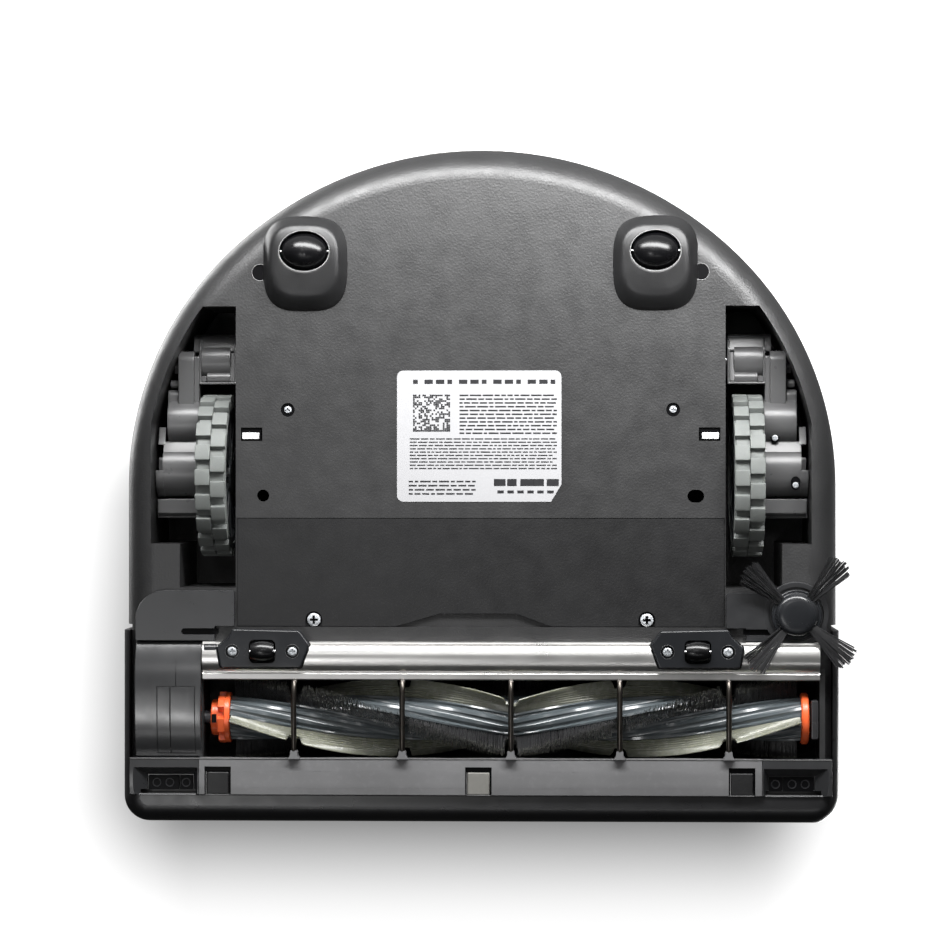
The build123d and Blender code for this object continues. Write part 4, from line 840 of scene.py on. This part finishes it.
def bristle_rows():
    """Two V-shaped rows of nylon bristles, thinned at the guard wires."""
    rng = random.Random(11)
    mesh = bmesh.new()
    lanes = 9
    for start in BRISTLE_TURNS:
        for distance in brush_stations(2.0, 0.55):
            turn = brush_turn(start, distance)
            for lane in range(lanes):
                across = 2 * lane / (lanes - 1) - 1
                x = BRUSH_MID_X + distance + rng.uniform(-0.3, 0.3)
                limit = reach_at(x, 18.9, 12.6) - rng.uniform(0.0, 0.9)
                root = brush_point(x, CORE_R - 0.3, turn + 1.8 * across / CORE_R)
                lean = (3.4 * across + rng.uniform(-0.6, 0.6)) / limit
                tip = brush_point(x + rng.uniform(-0.6, 0.6), limit, turn + lean)
                filament(mesh, root, tip, rng.uniform(0.1, 0.16))
    piece("bristle_rows", mesh, "bristle_black", "brush", ["brush_bristles"], 20, ["bristle_tip"])


def orange_ends():
    """Stepped drive cap with its teeth, and the plain disc of the free end."""
    axis = (0, BRUSH_Y, BRUSH_Z)
    x0 = BRUSH_LEFT_X
    parts = [
        lathe([(x0 + 0.1, 0), (x0 + 0.1, 11.3), (x0 + 0.5, 11.7), (x0 + 2.4, 11.7), (x0 + 2.8, 11.3),
               (x0 + 2.8, 0)], axis, steps=96),
        lathe([(x0 + 2.6, 0), (x0 + 2.6, 8.3), (x0 + 8.6, 8.3), (x0 + 9.1, 7.8), (x0 + 9.1, 4.4),
               (x0 + 7.4, 4.0), (x0 + 7.4, 0)], axis, steps=72),
    ]
    for index in range(6):
        tooth = box((x0 + 2.4, 6.0, -3.4), (x0 + 5.7, 11.5, 3.4), 0.5)
        turn = Matrix.Rotation(math.tau * index / 6 + 0.25, 4, "X")
        parts.append(moved(tooth, Matrix.Translation(axis) @ turn))
    piece("stepped_drive_cap", joined(parts), "cap_orange", "brush", ["drive_cap"])
    key = box((x0 + 6.4, -2.0, -8.6), (x0 + 8.6, 2.0, -8.0), 0.2)
    piece("drive_cap_key", moved(key, Matrix.Translation(axis)), "window_dark", "brush")
    x1 = BRUSH_RIGHT_X
    disc = lathe([(x1 - 3.6, 3.0), (x1 - 3.6, 11.2), (x1 - 3.0, 11.9), (x1 - 0.7, 11.9), (x1 - 0.1, 11.2),
                  (x1 - 0.1, 3.0)], axis, steps=96)
    piece("round_end_disc", disc, "cap_orange", "brush", ["end_disc"])
    # grey bearing block between the disc and the bay's wall
    block = box((-155.9, BRUSH_Y - 9.0, 10.5), (-152.4, BRUSH_Y + 9.0, 30.0), 0.8)
    ring = [(-152.6, 3.3), (-152.6, 6.4), (-152.0, 6.9), (-151.9, 6.4), (-151.9, 3.3)]
    stack = [block, lathe(ring, axis, steps=48, loop=True)]
    piece("bearing_block", joined(stack), "bearing_grey", "chassis", ["brush_bearing"])


# --- brush guard ------------------------------------------------------------------------

def guard_rods():
    """Round wires under the brush, with rounded feet at their front ends."""
    parts, feet = [], []
    for x in WIRE_XS:
        path = [(x, -94.9, 10.5), (x, -95.0, 7.6), (x, -95.7, 5.6), (x, -97.4, 4.4), (x, -100.0, 4.0),
                (x, -106.0, 3.85), (x, -118.0, 3.85), (x, -125.0, 4.0), (x, -127.6, 4.9), (x, -128.9, 6.8),
                (x, -129.2, 9.0)]
        parts.append(tube(path, 1.3, 18))
        foot = rounded([(x - 1.6, -126.6), (x + 1.6, -126.6), (x + 1.7, -128.8), (x + 2.8, -130.5),
                        (x - 2.8, -130.5), (x - 1.7, -128.8)], [0.6, 0.6, 1.4, 0.1, 0.1, 1.4])
        feet.append(prism(foot, 3.4, 9.0, 0.6))
    piece("guard_rods", joined(parts), "wire_steel", "chassis", ["guard_wires"])
    piece("guard_rod_feet", joined(feet), "strip_plastic")


def metallic_bar():
    """Guard bar: rear line, broad crowned band, groove and front lip, cut round the blocks."""
    profile = [
        (-76.7, 11.9), (-76.7, 7.6), (-77.0, 7.1), (-77.7, 6.9), (-78.2, 7.2), (-78.5, 6.6), (-79.4, 5.9),
        (-81.0, 5.25), (-83.0, 4.9), (-85.4, 4.95), (-87.6, 5.4), (-89.2, 6.2), (-90.0, 7.0), (-90.3, 8.4),
        (-90.8, 8.5), (-91.0, 7.9), (-91.5, 7.6), (-93.8, 7.55), (-94.25, 7.8), (-94.35, 8.4), (-94.3, 10.0),
        (-90.0, 11.9),
    ]
    bar = slab(profile, -156.2, 128.1, 0)
    cutters = []
    for hand in (LEFT, RIGHT):
        cutters.append(prism(block_plan(hand, 0.45), 0, 20, 0))
    piece("metallic_guard_bar", carve(bar, cutters), "guard_metallic", "chassis", ["guard_bar"], angle=28)


def block_plan(hand, grow=0.0):
    """Plan of one roller block, grown by a gap."""
    x = FRONT_ROLLER[0]
    points = [
        (x + 15.7 + grow, -74.2 + grow), (x + 13.9, -70.7 + grow), (x - 16.9, -71.4 + grow),
        (x - 21.9 - grow, -77.9), (x - 17.8 - grow, -88.7 - grow), (x + 19.4 + grow, -88.7 - grow),
        (x + 21.2 + grow, -79.2),
    ]
    return [(hand * px, py) for px, py in rounded(points, 1.6, 4)]


def roller_blocks():
    """Blocks of the front rollers, with their screw wells, roller slots and painted highlight lines round
    the well mouths.
    """
    parts, heads, lips = [], [], []
    for hand in (LEFT, RIGHT):
        x, y = hand * FRONT_ROLLER[0], FRONT_ROLLER[1]
        block = prism(block_plan(hand), BLOCK_FACE_Z, 11.9, 0.9, 3)
        cutters = [prism(rectangle(x - 6.1, x + 6.1, y - 5.4, y + 5.4, 2.4), 0, 13, 0)]
        for side in (-BLOCK_SCREW_X, BLOCK_SCREW_X):
            cutters.append(lathe([(3, 3.1), (6.0, 3.0)], (x + side, y, 0), axis="Z", steps=40))
            heads.append(moved(cross_head(2.2, 1.2), Matrix.Translation((x + side, y, 5.55))))
            # light ring on the well's edge: painted highlight
            lips.append(rim(x + side, y, 3.2, 3.2, BLOCK_FACE_Z, 0.12, 0.12, 40))
        parts.append(carve(block, cutters))
    piece("roller_blocks", joined(parts), "hub_black", "chassis", ["guard_blocks"])
    piece("roller_block_screws", joined(heads), "screw_zinc", "chassis", ["guard_screws"])
    piece("roller_block_lip_highlights", joined(lips), "faint_painted_highlight", angle=90)


def front_roller(hand):
    """Crowned front roller."""
    side = SIDE_NAMES[hand]
    half, steps = 5.3, 24
    profile = [(-half, 0.9)]
    for index in range(steps + 1):
        along = -half + 2 * half * index / steps
        profile.append((along, 4.95 - 1.0 * (along / half) ** 2))
    profile.append((half, 0.9))
    mesh = lathe(profile, (hand * FRONT_ROLLER[0], FRONT_ROLLER[1], 5.5), steps=64)
    body = f"guard_roller_{side}"
    piece(f"front_roller_{side}", mesh, "roller_black", body, [body])


def latch():
    """Small black catch at the left end of the guard bar."""
    barrel = [(121.4, 0), (121.4, 2.3), (121.9, 2.8), (127.0, 2.8), (127.5, 2.3), (127.5, 0)]
    parts = [lathe(barrel, (0, -80.2, 8.2)), box((122.0, -84.0, 8.4), (127.6, -77.4, 11.8), 0.6)]
    piece("guard_latch", joined(parts), "hub_black")


# --- corner blocks ----------------------------------------------------------------------

def housing_arc(y0, y1, inset=0.0, steps=28):
    """Points of the rounded belt housing's underside, from y0 forward to y1."""
    points = []
    for step in range(steps + 1):
        y = y0 + (y1 - y0) * step / steps
        rise = HOUSING_RISE * (abs(y - HOUSING_Y) / HOUSING_HALF) ** HOUSING_POWER
        points.append((y, HOUSING_Z + inset + rise))
    return points


def corner_slot(x0, x1):
    """Cutter of the long slot in a corner block."""
    return prism(rectangle(x0, x1, CORNER_SLOT_Y0, CORNER_SLOT_Y1, 1.3), 7, 10.6, 0)


def belt_housing():
    """Left corner block: flat rear part with a slot, rounded housing and its curved cap."""
    x0, x1 = HOUSING_X0, HOUSING_X1
    plan = [(113.5, -53.1), (113.5, -69.6), (122.7, -69.6), (122.7, -76.2), (x1, -76.2), (x1, -53.1)]
    flat = prism(rounded(plan, [1.0, 0.6, 0.6, 0.3, 0.8, 13.5]), 8.5, 12.0, 0)
    flat = bevelled(carve(flat, [corner_slot(121.0, 138.0)]), 0.4)
    shape = slab([(-76.6, 12.0), (-76.6, 11.4), *housing_arc(-77.0, -130.0), (-130.2, 12.0)], x0, x1, 0.5, 3)
    pocket = slab([*housing_arc(-97.1, -128.6, 0.9, 24), (-128.6, 2.0), (-97.1, 2.0)], 131.3, 149.3, 0)
    slit = box((127.6, -81.4, 4.0), (143.5, -79.4, 8.6), 0)
    seam = box((140.2, -97.0, 4.0), (140.5, -77.0, 7.6), 0)
    shape = carve(shape, [pocket, slit, seam])
    piece("left_corner_plate", flat, "block_plastic")
    # the housing is lighter than the corner plate of the same block: painted highlight
    piece("belt_housing", shape, "cap_plastic", "chassis", ["side_block_left"])
    floors = []
    # dark floors in the slots of both corner blocks: painted shade
    for near, far in ((121.2, 137.8), (-134.6, -121.2)):
        floors.append(box((near, CORNER_SLOT_Y0 + 0.2, 10.2), (far, CORNER_SLOT_Y1 - 0.2, 10.5), 0))
    piece("corner_slot_shade", joined(floors), "window_dark")
    inner = housing_arc(-128.3, -97.4, 0.95, 24)
    outer = housing_arc(-97.4, -128.3, 0.0, 24)
    cap = slab(outer + inner, 131.6, 142.9, 0.25)
    rest = slab(outer + inner, 143.1, 149.0, 0.25)
    grooves = [box((x, -128.0, 4.0), (x + 0.2, -97.8, 5.62), 0) for x in (134.8, 137.8)]
    piece("housing_cap", joined([carve(cap, grooves), rest]), "cap_plastic", "chassis", ["gear_cap"])


def brush_seat():
    """Right corner block with the round seat of the side brush."""
    x, y = SIDE_BRUSH
    plan = [
        (-113.5, -54.1), (-159.4, -54.1), (-159.4, -76.2), (-122.7, -76.2), (-122.7, -70.2), (-113.5, -70.2),
    ]
    flat = prism(rounded(plan, [1.0, 1.0, 0.6, 0.6, 0.6, 0.8]), 8.5, 12.0, 0)
    lip = [(8.5, 12.7), (8.4, 12.9), (8.4, 14.7), (8.7, 15.0), (12.0, 15.0), (12.0, 12.7)]
    collar = lathe(lip, (x, y, 0), axis="Z", steps=96, loop=True)
    ring = [(9.8, 4.5), (9.8, 12.8), (12.0, 12.8), (12.0, 4.5)]
    floor = lathe(ring, (x, y, 0), axis="Z", steps=96, loop=True)
    mouth = lathe([(5, 12.7), (13, 12.7)], (x, y, 0), axis="Z", steps=96)
    cutters = [mouth, corner_slot(-134.8, -121.0)]
    mesh = joined([bevelled(carve(flat, cutters), 0.4), collar, floor])
    piece("brush_seat", mesh, "block_plastic", "chassis", ["side_block_right"])


# --- side brush -------------------------------------------------------------------------

def side_hub():
    """Domed hub with a stepped skirt."""
    x, y = SIDE_BRUSH
    profile = [(8.2, 4.0), (8.2, 11.4), (7.8, 11.6), (5.6, 11.5), (5.3, 11.1), (5.3, 10.3), (5.0, 9.9),
               (4.0, 9.6), (3.0, 9.0), (2.3, 7.8), (1.95, 6.0), (1.8, 3.6), (1.75, 0.0)]
    shaft = [(8.2, 0), (8.2, 4.0), (20.0, 4.0), (21.8, 3.2), (21.8, 0)]
    parts = [lathe(profile, (x, y, 0), axis="Z", steps=96), lathe(shaft, (x, y, 0), axis="Z")]
    piece("domed_brush_hub", joined(parts), "hub_black", "side_brush", ["side_brush_hub"])


def side_tufts():
    """Four fans of filaments in uneven bundles that splay out and slope to the floor."""
    rng = random.Random(5)
    mesh = bmesh.new()
    x, y = SIDE_BRUSH
    shares = (0.0, 0.3, 0.65, 1.0)
    for index in range(4):
        lead = math.radians(41.0 + 90.0 * index)
        for bundle in range(15):
            middle = -0.94 + 1.88 * bundle / 14 + rng.uniform(-0.04, 0.04)
            depth = rng.uniform(-1, 1)
            length = 33.2 - rng.uniform(0.0, 2.2) - 1.4 * middle * middle
            for strand in range(8):
                across = middle + rng.uniform(-0.075, 0.075)
                layer = depth + rng.uniform(-0.3, 0.3)
                reach = length - rng.uniform(0.0, 0.7)
                drift = rng.uniform(-0.35, 0.35)
                places = []
                for share in shares:
                    radius = 8.8 + (reach - 8.8) * share
                    width = (1.9 + 4.5 * share ** 1.15) * across + drift * share
                    height = 4.5 - 2.7 * share ** 0.8 + 0.6 * layer * (1 - 0.3 * share)
                    turn = lead + width / radius
                    across_x, across_y = radius * math.cos(turn), radius * math.sin(turn)
                    places.append(Vector((x + across_x, y + across_y, height)))
                for one, two in zip(places, places[1:]):
                    filament(mesh, one, two, 0.16, 0)
    piece("filament_tufts", mesh, "tuft_black", "side_brush", ["side_brush_tufts"], angle=20)


# --- front strip ------------------------------------------------------------------------

def strip_profile():
    """Section of the front strip: gently crowned, with a thin front lip that the bumper slides over."""
    rear, front, lip = STRIP_REAR_Y, STRIP_FRONT_Y, STRIP_LIP_Z
    points = [
        (rear, 12.0), (rear, 6.7), (-137.0, 6.05), (-143.0, 6.05), (front, 6.5), (front, lip),
        (-145.0, lip), (-145.0, 12.0),
    ]
    return rounded(points, [0, 0.8, 30, 30, 0.5, 0, 0, 0])


def sensor_recess(hand):
    """Mouth and sloping walls of the recess round one cliff sensor."""
    rings = []
    for grow, z in ((4.6, 4.0), (4.2, 6.0), (0.0, 10.0), (0.0, 11.4)):
        x0, x1 = sorted((hand * (132.4 - grow * 0.5), hand * (154.0 + grow * 1.5)))
        y0, y1 = -144.9 - grow, -138.2 + grow * 0.9
        rings.append([(x0, y0, z), (x1, y0, z), (x1, y1, z), (x0, y1, z)])
    return skin(rings)


def curved_strip():
    """Front strip with pockets for the pads, and its darker ends with the sensor recesses."""
    strip = slab(strip_profile(), -129.6, 129.6, 0)
    pockets = [box((x - 6.1, -147.2, 5.0), (x + 6.1, -134.3, 7.9), 0) for x in PAD_XS]
    strip = carve(strip, pockets)
    piece("curved_front_strip", strip, "strip_plastic", "chassis", ["front_strip"], angle=24)
    ends = []
    for hand in (LEFT, RIGHT):
        end = flipped(slab(strip_profile(), 129.8, 161.8, 0), hand)
        ends.append(bevelled(carve(end, [sensor_recess(hand)]), 0.25))
    piece("strip_ends", joined(ends), "block_plastic", angle=24)


def strip_details():
    """Glide pads with painted shade in their pits, sensor windows with their lenses, and painted highlight
    lines of the strip.
    """
    windows, lenses, lines, outer, pits = [], [], [], [], []
    for x in PAD_XS:
        pad = box((x - 5.1, -147.0, 6.15), (x + 5.1, -136.8, 8.1), 0.6, 3)
        if abs(x) < 50:
            piece("centre_pad", pad, "pad_grey")
        else:
            outer.append(pad)
        # dark sheet in each pad pocket: painted shade in the gap round the pad
        pits.append(box((x - 6.1, -147.2, 7.8), (x + 6.1, -134.3, 8.1), 0))
        # light lines along the pocket's edges: painted highlights
        lines.append(box((x - 5.5, -147.3, 6.0), (x + 5.5, -147.0, 8.2), 0.1))
        lines.append(box((x + 5.2, -147.2, 6.0), (x + 5.45, -136.6, 8.2), 0.1))
    piece("outer_pads", joined(outer), "cover_plastic", "chassis", ["square_pads"])
    piece("pad_pit_shade", joined(pits), "window_dark")
    for hand in (LEFT, RIGHT):
        for x0, x1 in ((132.9, 138.9), (139.3, 153.5)):
            windows.append(flipped(box((x0, -145.2, 9.9), (x1, -138.8, 11.3), 0.25), hand))
        ring = [(10.1, 1.5), (9.75, 1.6), (9.7, 2.0), (10.1, 2.2)]
        for x in (136.0, 143.6, 149.6):
            lenses.append(lathe(ring, (hand * x, -142.0, 0), axis="Z", steps=40, loop=True))
    piece("sensor_windows", joined(windows), "window_dark", "chassis", ["cliff_windows"])
    piece("sensor_lens_rings", joined(lenses), "lens_dark")
    # light line along the strip's rear edge: painted highlight
    lines.append(box((-161.6, STRIP_REAR_Y - 0.4, 6.3), (161.6, STRIP_REAR_Y, 7.0), 0.12))
    piece("strip_highlight_lines", joined(lines), "painted_highlight_and_mark")


# --- screws and label -------------------------------------------------------------------

def belly_screws():
    """Pan-head cross screws of the battery cover and the plate, with painted shade in and round them."""
    parts, dark = [], []
    # X, Y and Z of the screw, radius of its head, radius of the dark ring of painted shade round it
    screws = (
        (77.0, -66.7, 12.6, 3.1, 3.85),
        (-77.0, -66.7, 12.6, 3.1, 3.85),
        (89.1, 30.4, 13.1, 1.75, 3.15),
        (-89.1, 30.4, 13.1, 1.75, 3.15),
    )
    for x, y, z, radius, shadow in screws:
        place = Matrix.Translation((x, y, z))
        parts.append(moved(cross_head(radius, 1.3), place))
        dark.append(moved(painted_shade_cross(radius), place))
        ring = [(12.9, radius - 0.4), (12.9, shadow), (13.1, shadow), (13.1, radius - 0.4)]
        dark.append(lathe(ring, (x, y, 0), axis="Z", steps=48, loop=True))
    piece("belly_screws", joined(parts), "screw_zinc", "chassis", ["underside_screws"])
    piece("belly_screw_shadows", joined(dark), "window_dark")


def label_print():
    """Print of the rating label: a dot square, bars for writing and plain outlines."""
    ink = []

    def bar(x, y, width, height):
        ink.append(box((x - width, y - height, LABEL_Z), (x, y, LABEL_Z + 0.04), 0))

    rng = random.Random(3)
    # square of dots
    cell = 0.86
    for column in range(20):
        for row in range(20):
            edge = min(column, row, 19 - column, 19 - row) == 0
            if rng.random() < (0.75 if edge else 0.5):
                bar(31.0 - column * cell, 37.4 - row * cell, cell * 0.94, cell * 0.94)
    # heading row of small blocks
    for index in range(13):
        bar(31.0 - index * 5.3, 44.3, 3.9 if index % 3 else 2.2, 2.0)
    # writing beside and under the dots
    for row in range(11):
        x = 9.5
        while x > -34.0:
            width = rng.uniform(1.4, 5.4)
            bar(x, 37.4 - row * 1.75, min(width, x + 35.5), 0.75)
            x -= width + 0.7
    for row in range(10):
        x = 32.5
        while x > -34.0:
            width = rng.uniform(1.2, 4.6)
            bar(x, 17.2 - row * 1.52, min(width, x + 35.5), 0.62)
            x -= width + 0.6
    # bold bars at the foot
    for index, width in enumerate((5.4, 4.4, 6.2, 4.8, 5.6)):
        bar(-6.4 - index * 6.1, -1.6, width, 3.3)
    for row in range(4):
        x = 33.0
        while x > 3.0:
            width = rng.uniform(1.6, 5.0)
            bar(x, -2.4 - row * 1.9, min(width, x - 2.0), 0.8)
            x -= width + 0.8
    for index in range(6):
        bar(-8.0 - index * 4.6, -6.9, 3.0, 1.4)
    piece("label_print", joined(ink), "ink_black", angle=10)


# --- deck -------------------------------------------------------------------------------

def deck_details():
    """Plain dots on the two buttons and a fine ring on the turret's lid."""
    dot = [(82.4, 0), (83.12, 0.0), (83.12, 1.6), (82.9, 1.8), (82.4, 1.8)]
    for button, x in BUTTON_XS.items():
        mark = lathe(dot, (x, 2.0, 0), axis="Z", steps=32)
        piece(f"{button}_button_mark", mark, "painted_highlight_and_mark", f"{button}_button")
    band = [(100.0, 30.0), (100.14, 30.3), (100.14, 31.2), (100.0, 31.5)]
    ring = lathe(band, (0, 85.0, 0), axis="Z", steps=96, loop=True)
    piece("turret_ring", ring, "bumper_plastic")


# --- stage ----------------------------------------------------------------------------

def one_sided(name, colour, glow, painted_shadow_glow=None):
    """Pale surface seen from one side only, its glow falling to a dimmer level in a painted shadow under the
    front end.
    """
    n = Nodes(name)
    grain = n.spread(n.noise(400.0), 0.0, 1.0)
    n.link(n.mix(grain, colour, shade(colour, 0.985)), n.shader.inputs["Base Color"])
    n.shader.inputs["Roughness"].default_value = 0.9
    n.shader.inputs["Specular IOR Level"].default_value = 0.1
    n.shader.inputs["Emission Color"].default_value = (1.0, 1.0, 1.0, 1.0)
    n.shader.inputs["Emission Strength"].default_value = glow
    # painted shadow: the glow dims round the robot's front end
    if painted_shadow_glow is not None:
        n.link(painted_shadow_slope(n, painted_shadow_glow, glow), n.shader.inputs["Emission Strength"])
    side = n.add("ShaderNodeNewGeometry").outputs["Backfacing"]
    clear = n.add("ShaderNodeBsdfTransparent")
    mix = n.add("ShaderNodeMixShader")
    n.link(side, mix.inputs["Fac"])
    n.link(n.shader.outputs["BSDF"], mix.inputs[1])
    n.link(clear.outputs["BSDF"], mix.inputs[2])
    n.link(mix.outputs["Shader"], n.tree.nodes["Material Output"].inputs["Surface"])
    return n.material


def painted_shadow_slope(n, painted_shadow_glow, glow):
    """Painted shadow: glow that rises outward from a soft oblong behind the robot's front end."""
    reach = n.add("ShaderNodeTexCoord").outputs["Object"]
    steps = (
        ("SUBTRACT", PAINTED_SHADOW_MIDDLE),
        ("ABSOLUTE", (0, 0, 0)),
        ("SUBTRACT", PAINTED_SHADOW_HALF),
        ("MAXIMUM", (0, 0, 0)),
    )
    for operation, amount in steps:
        node = n.add("ShaderNodeVectorMath", operation=operation)
        node.inputs[1].default_value = [length * MM for length in amount]
        n.link(reach, node.inputs[0])
        reach = node.outputs["Vector"]
    far = n.add("ShaderNodeVectorMath", operation="LENGTH")
    n.link(reach, far.inputs[0])
    slope = n.add("ShaderNodeMapRange", interpolation_type="SMOOTHSTEP")
    slope.inputs["From Max"].default_value = PAINTED_SHADOW_REACH * MM
    slope.inputs["To Min"].default_value = painted_shadow_glow
    slope.inputs["To Max"].default_value = glow
    n.link(far.outputs["Value"], slope.inputs["Value"])
    return slope.outputs["Result"]


def stage_plane(name, z, half, material, face_down):
    """Flat square of the stage that only camera rays meet."""
    mesh = bpy.data.meshes.new(name)
    corners = [(-half, -half, z), (half, -half, z), (half, half, z), (-half, half, z)]
    mesh.from_pydata([Vector(c) * MM for c in corners], [], [(3, 2, 1, 0) if face_down else (0, 1, 2, 3)])
    plane = bpy.data.objects.new(name, mesh)
    bpy.context.scene.collection.objects.link(plane)
    mesh.materials.append(material)
    for ray in ("shadow", "diffuse", "glossy", "transmission"):
        setattr(plane, "visible_" + ray, False)


def area_light(name, place, aim, size, power):
    """Soft rectangular light, not seen by the camera."""
    light = bpy.data.lights.new(name, "AREA")
    light.shape = "RECTANGLE"
    light.size, light.size_y = size[0] * MM, size[1] * MM
    light.energy = power
    lamp = bpy.data.objects.new(name, light)
    bpy.context.scene.collection.objects.link(lamp)
    lamp.location = Vector(place) * MM
    lamp.rotation_euler = (Vector(aim) - Vector(place)).to_track_quat("-Z", "Y").to_euler()
    lamp.visible_camera = False


def pale_world():
    """Pale studio surround: bright to the camera, softer as a light."""
    world = bpy.data.worlds.new("studio")
    world.use_nodes = True
    tree = world.node_tree
    back = tree.nodes["Background"]
    back.inputs["Color"].default_value = (1.0, 1.0, 1.0, 1.0)
    # light comes mostly from beyond the rounded back
    where = tree.nodes.new("ShaderNodeTexCoord")
    split = tree.nodes.new("ShaderNodeSeparateXYZ")
    tree.links.new(where.outputs["Generated"], split.inputs["Vector"])
    slope = tree.nodes.new("ShaderNodeMapRange")
    slope.inputs["From Min"].default_value = -0.1
    slope.inputs["From Max"].default_value = 0.9
    slope.inputs["To Min"].default_value = 0.02
    slope.inputs["To Max"].default_value = 0.6
    tree.links.new(split.outputs["Y"], slope.inputs["Value"])
    path = tree.nodes.new("ShaderNodeLightPath")
    level = tree.nodes.new("ShaderNodeMapRange")
    level.inputs["To Max"].default_value = 0.93
    tree.links.new(slope.outputs["Result"], level.inputs["To Min"])
    tree.links.new(path.outputs["Is Camera Ray"], level.inputs["Value"])
    tree.links.new(level.outputs["Result"], back.inputs["Strength"])
    bpy.context.scene.world = world


def make_stage():
    """Floor, table behind the overturned robot, lights and surround."""
    bpy.context.scene.view_settings.view_transform = "Standard"
    floor = one_sided("floor_pale", (0.7, 0.7, 0.7), 0.35)
    # the table's glow carries a painted shadow round the robot's front end
    table = one_sided("table_pale_painted_shadow", (0.5, 0.5, 0.5), 0.93, painted_shadow_glow=0.066)
    stage_plane("floor", 0.0, 6000, floor, face_down=False)
    stage_plane("table", 118.0, 1500, table, face_down=True)
    pale_world()
    # from below, for the underside: the key hangs close behind the back edge
    area_light("key_back", (-30, 262, -205), (0, 110, 20), (620, 110), 5.0)
    area_light("glint_strip", (75, 330, -1150), (0, -20, 20), (420, 110), 0.45)
    area_light("glint_front", (0, -700, -1100), (0, -110, 10), (900, 90), 0.5)
    area_light("glint_housing", (295, -330, -1100), (144, -110, 10), (280, 130), 0.9)
    # from above, for the deck
    area_light("deck_key", (-1100, -900, 1500), (0, 0, 50), (1100, 1100), 40)
    area_light("deck_fill", (1300, 700, 1200), (0, 0, 50), (1400, 900), 25)


def make_camera():
    """Long lens under the robot, a little to its right, looking up at the belly."""
    data = bpy.data.cameras.new("camera")
    data.sensor_width = 36.0
    data.lens = 120.3
    data.clip_start, data.clip_end = 0.05, 30.0
    camera = bpy.data.objects.new("camera", data)
    bpy.context.scene.collection.objects.link(camera)
    aim = Vector((3.45, 1.4, 45.0)) * MM
    camera.location = Vector((-47.0, 1.4, -1454.0)) * MM
    look = (aim - camera.location).normalized()
    right = look.cross(Vector((0, 1, 0))).normalized()
    up = right.cross(look)
    camera.matrix_world = Matrix.Translation(camera.location) @ Matrix(
        (right, up, -look)
    ).transposed().to_4x4()
    bpy.context.scene.camera = camera


paint_cad_nodes()
for hand in (LEFT, RIGHT):
    lugged_tyre(hand)
    ribbed_wheel(hand)
    swing_arm(hand)
    caster_boss(hand)
    egg_roller(hand)
    front_roller(hand)
arm_screws()
caster_pin_ends()
belly_details()
ribbed_tube()
soft_flaps()
bristle_rows()
orange_ends()
guard_rods()
metallic_bar()
roller_blocks()
latch()
belt_housing()
brush_seat()
side_hub()
side_tufts()
curved_strip()
strip_details()
belly_screws()
label_print()
deck_details()
make_stage()
make_camera()
